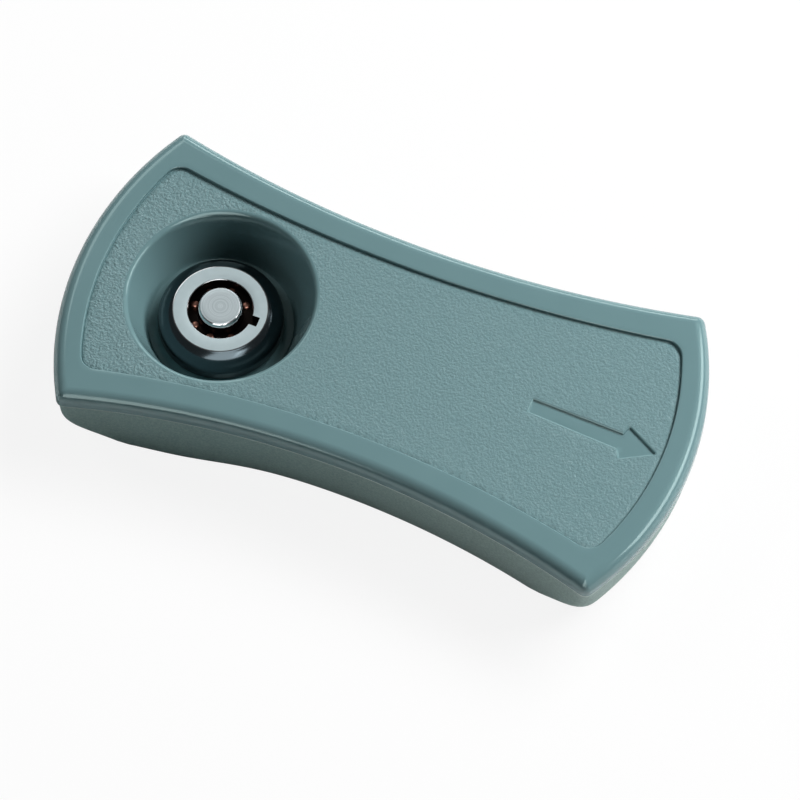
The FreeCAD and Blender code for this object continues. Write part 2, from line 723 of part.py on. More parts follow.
def rail(name, side):
    """A steel rail of C section under one side of the cover, with two ears."""
    body = body_for(name)
    low = rail_inner
    high = rail_outer
    top = ear_offset + ear_radius
    ear_rear = -ear_reach
    ear_front = ear_reach
    wide = ear_radius
    corners = [(-rail_start, low), (rail_end, low), (rail_end, high), (ear_front + wide, high),
               (ear_front + wide, ear_offset), (ear_front - wide, ear_offset, HALF_ROUND),
               (ear_front - wide, high), (ear_rear + wide, high), (ear_rear + wide, ear_offset),
               (ear_rear - wide, ear_offset, HALF_ROUND), (ear_rear - wide, high), (-rail_start, high)]
    if side < 0:
        corners = [(corner[0], -corner[1]) + (RIGHT_ROUND,) * (len(corner) - 2) for corner in corners]
    sketch = sketch_in(body, name + "Plan", "XY_Plane", floor_gap)
    outline(sketch, corners)
    pad(body, sketch, seat - floor_gap)
    sketch = sketch_in(body, name + "Channel", "YZ_Plane")
    inner = (low - OVER) * side
    outer = liner_outer * side
    below = floor_gap + rail_leg
    above = seat - rail_leg
    outline(sketch, [(inner, below), (outer, below), (outer, above), (inner, above)])
    pocket(body, sketch, (rail_start + rail_end) * 2, both_ways=True)
    sketch = sketch_in(body, name + "Holes", "XY_Plane", floor_gap)
    for x in (ear_rear, ear_front):
        ring_line(sketch, x, ear_offset * side, screw_width / 2 + turn_play)
    pocket(body, sketch, upward=True)
    sketch = sketch_in(body, name + "Sinks", "XY_Plane", floor_gap)
    for x in (ear_rear, ear_front):
        ring_line(sketch, x, ear_offset * side, screw_head / 2 + turn_play)
    pocket(body, sketch, screw_sink, upward=True)
    return body


def liner(name, side):
    """A low-friction liner of C section inside a rail."""
    body = body_for(name)
    inner = rail_inner * side
    outer = liner_outer * side
    flange = (flange_half + run) * side
    low = foot_thickness - run - liner_wall
    high = base_top + run + liner_wall
    sketch = sketch_in(body, name + "Section", "YZ_Plane", -rail_start)
    outline(sketch, [(inner, low), (outer, low), (outer, high), (inner, high), (inner, high - liner_wall),
                     (flange, high - liner_wall), (flange, low + liner_wall), (inner, low + liner_wall)])
    pad(body, sketch, rail_start + rail_end)
    return body


def slotted_screw(name, x, y, foot, head_radius_here, head_here, thread_radius, length):
    """A screw that points up, its slotted head at the foot."""
    body = turned(name, [(0, 0), (head_radius_here, 0), (head_radius_here, head_here / 3),
                         (thread_radius, head_here), (thread_radius, length), (0, length)])
    sketch = sketch_in(body, name + "Slot", "XY_Plane")
    half = thread_radius / 4
    reach = head_radius_here + OVER
    outline(sketch, [(-reach, -half), (reach, -half), (reach, half), (-reach, half)])
    pocket(body, sketch, head_here / 3, upward=True)
    return stand(body, x, y, foot)


def fasteners():
    """Screws and threaded inserts of the rails and the tongue."""
    rail_screws, tongue_screws, rail_inserts, tongue_inserts = [], [], [], []
    for name, x, y in screw_places():
        at_tongue = name.startswith("Tongue")
        foot = seat - tongue_thickness if at_tongue else floor_gap
        sink = tongue_thickness if at_tongue else screw_sink
        length = seat + insert_length - foot - thread_spare
        screw = slotted_screw("Screw" + name, x, y, foot, screw_head / 2, sink, screw_width / 2, length)
        insert = turned("Insert" + name, [(screw_width / 2, 0), (screw_width / 2 + insert_wall, 0),
                                          (screw_width / 2 + insert_wall, insert_length),
                                          (screw_width / 2, insert_length)])
        stand(insert, x, y, seat)
        (tongue_screws if at_tongue else rail_screws).append(screw)
        (tongue_inserts if at_tongue else rail_inserts).append(insert)
    return [group("rail_screws", rail_screws), group("tongue_screws", tongue_screws),
            group("rail_inserts", rail_inserts), group("tongue_inserts", tongue_inserts)]


def locking_tongue():
    """The steel tongue in the nose, with its turned-down lip."""
    body = body_for("locking_tongue")
    half = tongue_half
    sketch = sketch_in(body, "TonguePlate", "XY_Plane", seat - tongue_thickness)
    outline(sketch, [(tongue_start, -half), (tongue_tip, -half), (tongue_tip, half), (tongue_start, half)])
    pad(body, sketch, tongue_thickness)
    sketch = sketch_in(body, "TongueLip", "XY_Plane", floor_gap)
    front = tongue_tip + tongue_thickness
    outline(sketch, [(tongue_tip, -half), (front, -half), (front, half), (tongue_tip, half)])
    pad(body, sketch, seat - floor_gap)
    sketch = sketch_in(body, "TongueHoles", "XY_Plane", seat - tongue_thickness)
    for sign in (-1, 1):
        ring_line(sketch, tongue_screw_reach, tongue_screw_gap / 2 * sign, screw_head / 2 + turn_play)
    pocket(body, sketch, upward=True)
    return body


def nose_bumper():
    """The rubber block that the base plate's end meets."""
    body = body_for("nose_bumper")
    half = bumper_width / 2
    sketch = sketch_in(body, "BumperPlan", "XY_Plane", floor_gap * 2)
    rear = base_end + floor_gap
    outline(sketch, [(rear, -half), (tongue_tip, -half), (tongue_tip, half), (rear, half)])
    pad(body, sketch, base_top - floor_gap * 2)
    return body


def stop_pin():
    """The headed pin in the cover that ends the slide's travel."""
    pin = stop_pin_width / 2
    head = pin + stop_bush_wall
    body = turned("stop_pin", [(0, 0), (head, 0), (head, floor_gap), (pin, floor_gap),
                               (pin, seat + stop_pin_depth - floor_gap), (0, seat + stop_pin_depth - floor_gap)])
    return stand(body, stop_reach, 0, floor_gap)


def stop_bush():
    """The bush that runs in the base plate's slot."""
    pin = stop_pin_width / 2
    bush = pin + stop_bush_wall
    foot = floor_gap * 2
    body = turned("stop_bush", [(pin, 0), (bush, 0), (bush, seat - foot), (pin, seat - foot)])
    return stand(body, stop_reach, 0, foot)


def lock_barrel():
    """The plated barrel: domed head, ring face with its notch, flatted shank."""
    band = head_seat + head_band
    body = turned("lock_barrel", [
        (keyway_radius, plug_top), (bore_radius, plug_top), (bore_radius, barrel_foot),
        (shank_radius, barrel_foot), (shank_radius, head_seat), (head_radius, head_seat),
        (head_radius, band), (ring_radius, ring_height, dome_radius), (keyway_radius, ring_height)])
    side = shank_radius + OVER
    for sign, name in ((-1, "Right"), (1, "Left")):
        flat = sketch_in(body, "BarrelFlat" + name, "XY_Plane", barrel_foot)
        outline(flat, [(-side, shank_flat * sign), (side, shank_flat * sign), (side, side * sign),
                       (-side, side * sign)])
        pocket(body, flat, head_seat - barrel_foot, upward=True)
        groove = sketch_in(body, "BarrelGroove" + name, "XY_Plane", seat - clip_thickness)
        deep = shank_flat - clip_groove
        outline(groove, [(-side, deep * sign), (side, deep * sign), (side, side * sign),
                         (-side, side * sign)])
        pocket(body, groove, clip_thickness, upward=True)
    half = notch_width / 2
    notch = sketch_in(body, "BarrelNotch", "XY_Plane", ring_height)
    outline(notch, [(keyway_radius - OVER, -half), (notch_reach, -half), (notch_reach, half),
                    (keyway_radius - OVER, half)])
    pocket(body, notch, keyway_depth)
    # A quarter of the foot's wall is open for the stop washer's tab
    reach = washer_radius + washer_tab + turn_play
    half = washer_tab_width / 2 + turn_play
    rim = root(reach * reach + half * half)
    window = sketch_in(body, "BarrelWindow", "XY_Plane", barrel_foot)
    outline(window, [(half, 0), (half, -reach), (-reach, half, -rim), (0, half), (0, 0)])
    pocket(body, window, sleeve_foot - barrel_foot, upward=True)
    hole = sketch_in(body, "BarrelPinHole", "YZ_Plane", bore_radius - OVER)
    ring_line(hole, 0, sleeve_foot + sleeve_pin_height, sleeve_pin_width / 2)
    pocket(body, hole, shank_radius - bore_radius + OVER * 2, upward=True)
    return stand(body, lock_axis)


def lock_plug():
    """The turning plug: post, shoulder with seven pin bores, spindle, square end."""
    post_top = ring_height + post_proud
    shoulder = bore_radius - turn_play
    body = turned("lock_plug", [
        (0, washer_top), (tail_radius, washer_top), (tail_radius, shear), (shoulder, shear),
        (shoulder, plug_top - turn_play), (post_radius, plug_top - turn_play),
        (post_radius, post_top - post_radius + post_face), (post_face, post_top), (0, post_top)])
    half = tail_square / 2
    square = sketch_in(body, "PlugSquare", "XY_Plane", cam_foot)
    outline(square, [(-half, -half), (half, -half), (half, half), (-half, half)])
    pad(body, square, washer_top - cam_foot)
    bores = sketch_in(body, "PlugBores", "XY_Plane", shear)
    for degrees in range(45, 360, 45):
        ring_line(bores, along(pin_pitch, degrees), across(pin_pitch, degrees), pin_width / 2 + turn_play)
    pocket(body, bores, plug_height, upward=True)
    hole = sketch_in(body, "PlugThread", "XY_Plane", cam_foot)
    ring_line(hole, 0, 0, cam_screw_width / 2)
    pocket(body, hole, cam_screw_length + thread_spare, upward=True)
    return stand(body, lock_axis)


def pin_sleeve():
    """The fixed sleeve with eight bores; seven hold driver pins and springs."""
    outer = bore_radius - turn_play
    inner = tail_radius + turn_play
    body = turned("pin_sleeve", [(inner, sleeve_foot), (outer, sleeve_foot), (outer, sleeve_top),
                                 (inner, sleeve_top)])
    bores = sketch_in(body, "SleeveBore", "XY_Plane", sleeve_foot + sleeve_floor)
    ring_line(bores, pin_pitch, 0, pin_width / 2 + turn_play)
    bore = pocket(body, bores, sleeve_top - sleeve_foot, upward=True)
    pattern = body.newObject("PartDesign::PolarPattern", "SleeveBores")
    pattern.Originals = [bore]
    pattern.Axis = (bores, ["N_Axis"])
    pattern.Angle = 360
    pattern.Occurrences = 8
    body.Tip = pattern
    hole = sketch_in(body, "SleevePinHole", "YZ_Plane", pin_pitch + pin_width / 2 + end_air)
    ring_line(hole, 0, sleeve_foot + sleeve_pin_height, sleeve_pin_width / 2)
    pocket(body, hole, bore_radius, upward=True)
    return stand(body, lock_axis)


def sleeve_pin():
    """The small pin through the barrel's wall that keeps the sleeve from turning."""
    rod = doc.addObject("Part::Cylinder", "SleevePin")
    rod.Label = "sleeve_pin"
    inner = pin_pitch + pin_width / 2 + end_air
    bind(rod, "Radius", sleeve_pin_width / 2)
    bind(rod, "Height", shank_radius - inner - end_air)
    rod.Placement = FreeCAD.Placement(point(0, 0), FreeCAD.Rotation(point(0, 1), 90))
    return stand(rod, lock_axis + inner, 0, sleeve_foot + sleeve_pin_height)


def lock_pins():
    """Key pins of the depths that one key has, their driver pins and springs."""
    key_code = (0, 2, 1, 3, 0, 2, 1)
    key_pins, driver_pins, springs = [], [], []
    spring_foot = sleeve_foot + sleeve_floor
    driver_foot = sleeve_top - driver_length
    for index, depth in enumerate(key_code):
        degrees = 45 * (index + 1)
        x = lock_axis + along(pin_pitch, degrees)
        y = across(pin_pitch, degrees)
        length = plug_height + pin_stand + pin_cut_step * depth
        key_pins.append(cylinder(f"KeyPin{index}", pin_width / 2, length, x, y, shear))
        driver_pins.append(cylinder(f"DriverPin{index}", pin_width / 2, driver_length, x, y, driver_foot))
        outer = pin_width / 2 - turn_play
        ring = turned(f"PinSpring{index}", [(outer / 2, 0), (outer, 0), (outer, driver_foot - spring_foot),
                                            (outer / 2, driver_foot - spring_foot)])
        springs.append(stand(ring, x, y, spring_foot))
    return [group("key_pins", key_pins), group("driver_pins", driver_pins), group("pin_springs", springs)]


def head_gasket():
    """The flat seal between the well's floor and the lock's head."""
    inner = shank_radius + shank_play
    outer = head_radius - gasket
    body = turned("head_gasket", [(inner, ledge_top), (outer, ledge_top), (outer, head_seat),
                                  (inner, head_seat)])
    return stand(body, lock_axis)


def barrel_clip():
    """The spring clip pushed into the shank's grooves under the well's floor."""
    body = body_for("barrel_clip")
    inner = shank_flat - clip_groove
    outer = inner + clip_arm
    back = shank_radius + clip_arm
    front = shank_radius
    sketch = sketch_in(body, "ClipPlan", "XY_Plane", seat - clip_thickness)
    outline(sketch, [(front, inner), (front, outer), (-back, outer), (-back, -outer), (front, -outer),
                     (front, -inner), (-shank_radius, -inner), (-shank_radius, inner)])
    pad(body, sketch, clip_thickness)
    return stand(body, lock_axis)


def stop_washer():
    """The washer on the plug's square whose tab ends the quarter turn."""
    body = body_for("stop_washer")
    sketch = sketch_in(body, "WasherPlan", "XY_Plane", cam_top)
    ring_line(sketch, 0, 0, washer_radius)
    pad(body, sketch, washer_thickness)
    half = washer_tab_width / 2
    sketch = sketch_in(body, "WasherTab", "XY_Plane", cam_top)
    reach = washer_radius + washer_tab - turn_play
    root_line = washer_radius / 2
    outline(sketch, [(-half, -reach), (half, -reach), (half, -root_line), (-half, -root_line)])
    pad(body, sketch, washer_thickness)
    half = tail_square / 2
    sketch = sketch_in(body, "WasherSquare", "XY_Plane", cam_top)
    outline(sketch, [(-half, -half), (half, -half), (half, half), (-half, half)])
    pocket(body, sketch, washer_thickness, upward=True)
    return stand(body, lock_axis)


def cam():
    """The cam: it points to the rear when the lock is open."""
    body = body_for("cam")
    half = cam_width / 2
    tip = root(cam_reach * cam_reach - half * half)
    sketch = sketch_in(body, "CamArm", "XY_Plane", cam_foot)
    outline(sketch, [(0, -half), (0, half), (-tip, half), (-tip, -half, cam_reach)])
    pad(body, sketch, cam_thickness)
    sketch = sketch_in(body, "CamHub", "XY_Plane", cam_foot)
    ring_line(sketch, 0, 0, cam_hub)
    pad(body, sketch, cam_thickness)
    half = tail_square / 2
    sketch = sketch_in(body, "CamSquare", "XY_Plane", cam_foot)
    outline(sketch, [(-half, -half), (half, -half), (half, half), (-half, half)])
    pocket(body, sketch, cam_thickness, upward=True)
    return stand(body, lock_axis)


def cam_screw():
    """The screw that holds the cam on the plug."""
    head = cam_screw_head
    body = turned("cam_screw", [(0, 0), (cam_screw_radius, 0), (cam_screw_radius, head),
                                (cam_screw_width / 2, head), (cam_screw_width / 2, head + cam_screw_length),
                                (0, head + cam_screw_length)])
    sketch = sketch_in(body, "CamScrewSlot", "XY_Plane")
    half = head / 2
    reach = cam_screw_radius + OVER
    outline(sketch, [(-reach, -half), (reach, -half), (reach, half), (-reach, half)])
    pocket(body, sketch, head / 2, upward=True)
    return stand(body, lock_axis, 0, cam_clear)


pieces = [cover_shell(), base_plate()]
pieces += [rail("left_rail", 1), rail("right_rail", -1), liner("left_liner", 1), liner("right_liner", -1)]
pieces += fasteners()
pieces += [locking_tongue(), nose_bumper(), stop_pin(), stop_bush()]
pieces += [lock_barrel(), lock_plug(), pin_sleeve(), sleeve_pin()]
pieces += lock_pins()
pieces += [head_gasket(), barrel_clip(), stop_washer(), cam(), cam_screw()]
doc.recompute()

# Nothing is written until every object is sound and every cut has cut
for item in doc.Objects:
    if "Invalid" in item.State or "Error" in item.State:
        raise RuntimeError(f"{item.Name} failed: {item.State}")
    if item.TypeId in ("PartDesign::Pocket", "PartDesign::PolarPattern"):
        if item.Shape.Volume > item.BaseFeature.Shape.Volume - 0.001:
            raise RuntimeError(f"{item.Name} cuts nothing")
for piece in pieces:
    if piece.Shape.isNull() or not piece.Shape.isValid():
        raise RuntimeError(f"{piece.Label} has no sound shape")

os.makedirs("parts", exist_ok=True)
for piece in pieces:
    piece.Shape.exportStep(f"parts/{piece.Label}.step")
    bounds = piece.Shape.BoundBox
    print(f"{piece.Label:16} solids {len(piece.Shape.Solids)} volume {piece.Shape.Volume:9.2f} "
          f"x {bounds.XMin:7.2f} {bounds.XMax:7.2f} y {bounds.YMin:7.2f} {bounds.YMax:7.2f} "
          f"z {bounds.ZMin:6.2f} {bounds.ZMax:6.2f}")
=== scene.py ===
# %% [markdown]
# # A hatch lock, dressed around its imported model
# The real object is a moulded, waisted cover about 99 mm long that slides on a
# steel plate bolted to a boat's hatch. A small tubular key lock stands in a
# round well and holds the cover shut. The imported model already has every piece
# in its place, so this script loads it first and never moves it. Then it builds
# finer skins for the pieces that the eye meets, gives each piece a finish, and
# sets up the floor, the lamps and the camera.

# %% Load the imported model
import math

import bmesh
import bpy
import numpy as np
from mathutils import Matrix, Quaternion, Vector, geometry


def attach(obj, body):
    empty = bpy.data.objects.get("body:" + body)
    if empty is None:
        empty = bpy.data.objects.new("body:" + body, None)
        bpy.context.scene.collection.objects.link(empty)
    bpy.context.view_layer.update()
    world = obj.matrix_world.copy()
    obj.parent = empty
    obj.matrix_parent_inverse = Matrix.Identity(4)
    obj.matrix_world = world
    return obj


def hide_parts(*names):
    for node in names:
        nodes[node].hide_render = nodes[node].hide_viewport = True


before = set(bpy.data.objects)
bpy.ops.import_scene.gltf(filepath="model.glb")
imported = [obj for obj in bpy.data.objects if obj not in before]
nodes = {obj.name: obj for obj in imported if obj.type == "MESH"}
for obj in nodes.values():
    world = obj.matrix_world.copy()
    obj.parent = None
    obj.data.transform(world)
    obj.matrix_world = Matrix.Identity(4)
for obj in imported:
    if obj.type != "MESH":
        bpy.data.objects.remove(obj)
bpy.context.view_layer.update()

# %% [markdown]
# ## Sizes
# The model is in metres, but a moulding is easier to think of in millimetres.
# All sizes below are millimetres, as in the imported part, and a mesh is turned
# into metres only when it is made. The top of the cover is part of a long
# cylinder, so its height at x, or of a surface some way under it, is one short
# formula. The arrow and the nose lie toward +x, the lock toward -x.

# %% Sizes of the cover, in millimetres
MM = 0.001
HEIGHT = 16.0         # top of the arch over the hatch
CROWN = 553.0         # radius of the arch
HALF_LENGTH = 49.65
WAIST = 19.3          # half the width at the waist
HOLLOW = 166.5        # radius of the two long sides
END = 48.0            # radius of the two round ends
CORNER = 1.4
SHARPEST = 0.25       # the corner, however far it is drawn in
EDGE_ROUND = 2.0      # rounding between the side and the rim
PARTING = 3.0         # parting line, under the top
PANEL = (45.3, 14.5, 198.0, 45.6, 2.7)
PANEL_DEPTH = 0.55
ARROW_DEPTH = 0.4     # under the panel
FLOOR_GAP = 0.3       # air under the wall, so that the cover can slide
SEAT = 4.3            # underside of the well's floor and of the bosses
LEDGE_TOP = 5.5       # top of the well's floor
CEILING = 2.6         # inside of the top, under the outside
AXIS = -26.4          # where the lock's axis stands on x


def crown(x, drop=0.0):
    """Height of the arched top, or of a surface that lies drop under it."""
    return HEIGHT - CROWN + math.sqrt((CROWN - drop) ** 2 - x * x)


print("crown at the middle and the tips:", crown(0), round(crown(HALF_LENGTH), 2))

# %% [markdown]
# ## The waisted outline
# Seen from above, the cover is two hollow sides and two round ends with small
# corners between them. It could be drawn by hand, but every level of the
# moulding, from its foot to its sunk panel, has the same kind of outline. One
# function therefore works out the tangent arcs and returns the same number of
# points each time, so that any two levels can be joined by plain quads.

# %% One outline for every level
END_STEPS, CORNER_STEPS, SIDE_STEPS = 40, 8, 64


def arc(centre, radius, first, last, steps):
    """Points along an arc in the plan; its last point is left to what follows."""
    turns = [first + (last - first) * i / steps for i in range(steps)]
    return [(centre[0] + radius * math.cos(a), centre[1] + radius * math.sin(a)) for a in turns]


def waisted(length, waist, hollow, end, corner):
    """The outline round its middle: half length, half waist and three radii."""
    side, nose = Vector((0, waist + hollow)), Vector((length - end, 0))
    # The corner's centre is a known distance from the centres of both its arcs.
    reach, apart = hollow + corner, (nose - side).length
    share = (reach ** 2 - (end - corner) ** 2 + apart ** 2) / (2 * apart)
    line = (nose - side).normalized()
    off = Vector((-line.y, line.x)) * math.sqrt(reach ** 2 - share ** 2)
    knee = max(side + line * share + off, side + line * share - off, key=lambda p: p.x)
    out, back = (knee - nose), (side - knee)
    turn_end, turn_side = math.atan2(out.y, out.x), math.atan2(back.y, back.x)
    quarter = arc(nose, end, 0, turn_end, END_STEPS)
    quarter += arc(knee, corner, turn_end, turn_side, CORNER_STEPS)
    quarter += arc(side, hollow, turn_side - math.pi, -math.pi / 2, SIDE_STEPS)
    quarter += [(0, waist)]
    turned = quarter[::-1]
    loop = quarter[:-1] + [(-x, y) for x, y in turned[:-1]]
    return loop + [(-x, -y) for x, y in quarter[:-1]] + [(x, -y) for x, y in turned[:-1]]


def outer(inset):
    """The cover's widest outline, drawn in by an inset."""
    return waisted(HALF_LENGTH - inset, WAIST - inset, HOLLOW + inset, END - inset,
                   max(CORNER - inset, SHARPEST))


def panel(grow):
    """The sunk panel's outline, let out by an amount."""
    length, waist, hollow, end, corner = PANEL
    return waisted(length + grow, waist + grow, hollow - grow, end + grow, corner + grow)


print("points in an outline:", len(outer(0)))

# %% [markdown]
# ## Gathering a skin
# A moulded part is one closed surface. It could be cut from blocks with
# booleans, but they leave ragged faces along every soft edge. Here the surface
# is gathered ring by ring instead, and each small rounding gets rings of its
# own. Flat areas with holes, such as the panel, are filled by Blender's
# Delaunay function over a fine lattice.

# %% A small mesh gatherer
class Skin:
    """Points and faces of one mesh, in millimetres, with a finish per face."""

    def __init__(self):
        self.points, self.faces, self.finishes = [], [], []

    def ring(self, points):
        first = len(self.points)
        self.points.extend(tuple(p) for p in points)
        return list(range(first, first + len(points)))

    def bridge(self, lower, upper, finish=0):
        for i in range(len(lower)):
            j = (i + 1) % len(lower)
            self.faces.append((lower[i], lower[j], upper[j], upper[i]))
            self.finishes.append(finish)

    def stack(self, last, levels, finish=0):
        """Join levels of points onto a ring, one after another; return the last."""
        for points in levels:
            here = self.ring(points)
            self.bridge(last, here, finish)
            last = here
        return last

    def cap(self, ring, finish=0):
        """Close a ring with a fan round its middle."""
        middle = np.mean([self.points[i] for i in ring], axis=0)
        hub = self.ring([middle])[0]
        for i in range(len(ring)):
            self.faces.append((ring[i], ring[(i + 1) % len(ring)], hub))
            self.finishes.append(finish)

    def fill(self, rim, holes, height, spacing, finish=0):
        """Fill a rim that has holes with triangles, at the height of each x."""
        rings = [rim] + holes
        known = [i for ring in rings for i in ring]
        flat = np.array([self.points[i][:2] for i in known])
        edges, start = [], 0
        for ring in rings:
            edges += [(start + i, start + (i + 1) % len(ring)) for i in range(len(ring))]
            start += len(ring)
        low, high = flat.min(axis=0), flat.max(axis=0)
        rows = np.arange(low[1], high[1], spacing * 0.866)
        lattice = [(x + spacing / 2 * (row % 2), y) for row, y in enumerate(rows)
                   for x in np.arange(low[0], high[0], spacing)]
        lattice = [p for p in lattice if np.hypot(*(flat - p).T).min() > spacing * 0.6]
        spots = [Vector(p) for p in flat.tolist() + lattice]
        places, _, triangles, sources, _, _ = geometry.delaunay_2d_cdt(spots, edges, [], 0, 1e-6)
        middles = np.array([[sum(places[i][k] for i in t) / 3 for k in (0, 1)] for t in triangles])
        keep = within(middles, flat[:len(rim)])
        start = len(rim)
        for hole in holes:
            keep &= ~within(middles, flat[start:start + len(hole)])
            start += len(hole)
        index = {}
        for triangle, kept in zip(triangles, keep):
            if not kept:
                continue
            for spot in triangle:
                if spot in index:
                    continue
                source = min(sources[spot], default=len(known))
                if source < len(known):
                    index[spot] = known[source]
                else:
                    x, y = places[spot]
                    index[spot] = self.ring([(x, y, height(x))])[0]
            self.faces.append(tuple(index[spot] for spot in triangle))
            self.finishes.append(finish)

    def build(self, name, finishes):
        """Make the object, in metres, with its faces turned outwards."""
        mesh = bpy.data.meshes.new(name)
        mesh.from_pydata([[c * MM for c in p] for p in self.points], [], self.faces)
        for finish in finishes:
            mesh.materials.append(finish)
        mesh.polygons.foreach_set("material_index", self.finishes)
        work = bmesh.new()
        work.from_mesh(mesh)
        bmesh.ops.recalc_face_normals(work, faces=work.faces)
        work.to_mesh(mesh)
        work.free()
        mesh.shade_smooth()
        piece = bpy.data.objects.new(name, mesh)
        bpy.context.scene.collection.objects.link(piece)
        return piece


def within(spots, loop):
    """Which of some points lie inside a closed outline."""
    x, y = spots[:, 0][:, None], spots[:, 1][:, None]
    a, b = loop, np.roll(loop, -1, axis=0)
    crosses = (a[:, 1] > y) != (b[:, 1] > y)
    rise = np.where(b[:, 1] == a[:, 1], 1e-12, b[:, 1] - a[:, 1])
    left = x < (b[:, 0] - a[:, 0]) * (y - a[:, 1]) / rise + a[:, 0]
    return (crosses & left).sum(axis=1) % 2 == 1


print("rings can be joined, capped and filled")

# %% [markdown]
# ## Shader sums as plain Python
# A finish is a node tree, and most of its nodes do arithmetic. The first class
# wraps one socket, so that an expression such as `1 - mask * 0.3` adds its Math
# nodes by itself. Colours and vectors have nodes of their own kind, because a
# Math node would turn a colour grey. Every other node comes from one method.

# %% Sockets in sums
class Wire:
    """An output socket that can stand in a sum."""

    def __init__(self, finish, socket):
        self.finish, self.socket = finish, socket

    def __add__(self, other):
        return self.finish.reckon("ADD", self, other)

    def __radd__(self, other):
        return self.finish.reckon("ADD", other, self)

    def __sub__(self, other):
        return self.finish.reckon("SUBTRACT", self, other)

    def __rsub__(self, other):
        return self.finish.reckon("SUBTRACT", other, self)

    def __mul__(self, other):
        return self.finish.reckon("MULTIPLY", self, other)

    def __rmul__(self, other):
        return self.finish.reckon("MULTIPLY", other, self)

    def __truediv__(self, other):
        return self.finish.reckon("DIVIDE", self, other)

    def __rtruediv__(self, other):
        return self.finish.reckon("DIVIDE", other, self)


print("sums on wires are ready")


# %% Finishes
class Finish:
    """One material, or the world, and the nodes that it is made of."""

    def __init__(self, name, family="materials"):
        self.block = getattr(bpy.data, family).new(name)
        self.block.use_nodes = True
        self.nodes = self.block.node_tree.nodes
        self.links = self.block.node_tree.links
        self.nodes.clear()
        if family == "materials":
            self.place = self.add("ShaderNodeTexCoord", {}, {}, "Object")

    def add(self, kind, settings, sockets, out=0):
        """Add a node, set it up, feed its sockets and hand back one output."""
        node = self.nodes.new(kind)
        for key, value in settings.items():
            setattr(node, key, value)
        for key, value in sockets.items():
            if isinstance(value, Wire):
                self.links.new(value.socket, node.inputs[key])
            else:
                node.inputs[key].default_value = value
        return Wire(self, node.outputs[out]) if len(node.outputs) else None

    def reckon(self, operation, first, second):
        return self.add("ShaderNodeMath", {"operation": operation}, {0: first, 1: second})

    def noise(self, scale, detail=2, roughness=0.5, vector=None):
        """Cloudy noise; the scale is in cells a millimetre."""
        return self.add("ShaderNodeTexNoise", {},
                        {"Vector": vector or self.place, "Scale": scale / MM,
                         "Detail": detail, "Roughness": roughness}, "Fac")

    def mix(self, share, first, second):
        """A colour between two colours."""
        first, second = [c if isinstance(c, Wire) else (*c, 1) for c in (first, second)]
        return self.add("ShaderNodeMix", {"data_type": "RGBA"}, {0: share, 6: first, 7: second}, 2)

    def smooth(self, value, low, high):
        """0 below low, 1 above high, and a soft step between them."""
        return self.add("ShaderNodeMapRange", {"interpolation_type": "SMOOTHSTEP"},
                        {"Value": value, "From Min": low, "From Max": high})

    def toward_nose(self, start, end):
        """0 behind one x and 1 past another, in millimetres, and soft between."""
        along = self.add("ShaderNodeSeparateXYZ", {}, {"Vector": self.place}, "X")
        return self.smooth(along, start * MM, end * MM)

    def bump(self, height, distance):
        """Bumps of a height field; the distance is in millimetres."""
        return self.add("ShaderNodeBump", {}, {"Height": height, "Distance": distance * MM,
                                               "Strength": 1.0}, "Normal")

    def done(self, **sockets):
        """Close the tree with the surface shader and return the material."""
        named = {}
        for key, value in sockets.items():
            key = key.replace("_", " ").title().replace("Ior", "IOR")
            if key in ("Base Color", "Specular Tint") and not isinstance(value, Wire):
                value = (*value, 1)
            named[key] = value
        surface = self.add("ShaderNodeBsdfPrincipled", {}, named)
        self.add("ShaderNodeOutputMaterial", {}, {"Surface": surface})
        return self.block


print("finishes can be mixed")

# %% [markdown]
# ## The cover's plastic
# The cover is a grey-green moulding with five kinds of surface. The rim, the
# arrow and the well are smooth and satin. The panel has a fine leather grain
# from the mould, which is deepest round the lock, and painted shade darkens its
# low spots. The wall under the parting line is duller, with a blasted grain,
# and painted light makes it paler toward the nose, as if the floor lit it more
# there. The parting line is a thin pale line of trimmed flash, with a painted
# highlight that grows toward the nose, and the inside is plain. The grain
# could be modelled, but it is finer than any mesh should be, so it is a bump.
# Related colours keep all five one piece.

# %% Colours of the plastic
SAGE, SAGE_DEEP = (0.146, 0.250, 0.264), (0.128, 0.226, 0.240)
WALL_SAGE, WALL_DEEP = (0.230, 0.335, 0.318), (0.145, 0.225, 0.217)
# Painted light: the wall's colours at the nose are paler, as if bounce from the floor lit it more there.
NOSE_LIT_SAGE, NOSE_LIT_DEEP = (0.370, 0.480, 0.445), (0.215, 0.300, 0.282)
# The flash is pale; toward the nose it is paler still, which is a painted highlight.
FLASH_SAGE, NOSE_LIT_FLASH = (0.30, 0.39, 0.37), (0.66, 0.76, 0.71)
RIM_SHEEN, WALL_SHEEN = (0.80, 1.0, 0.97), (0.75, 1.0, 0.95)
print("plain plastic:", SAGE, "and the wall's:", WALL_SAGE)

# %% Plastics
GRAIN_ANGLE = math.radians(-26)
GRAIN_STRETCH = (1.0, 1.2, 1.0)


def satin_plastic():
    """Smooth moulded skin, faintly uneven as all mouldings are."""
    f = Finish("satin_plastic")
    cloud = f.noise(0.12, 2)
    peel = f.noise(1.1, 1)
    colour = f.mix(cloud, SAGE_DEEP, SAGE)
    return f.done(base_color=colour, roughness=0.10 + peel * 0.06, specular_ior_level=0.8,
                  specular_tint=RIM_SHEEN, normal=f.bump(peel, 0.004))


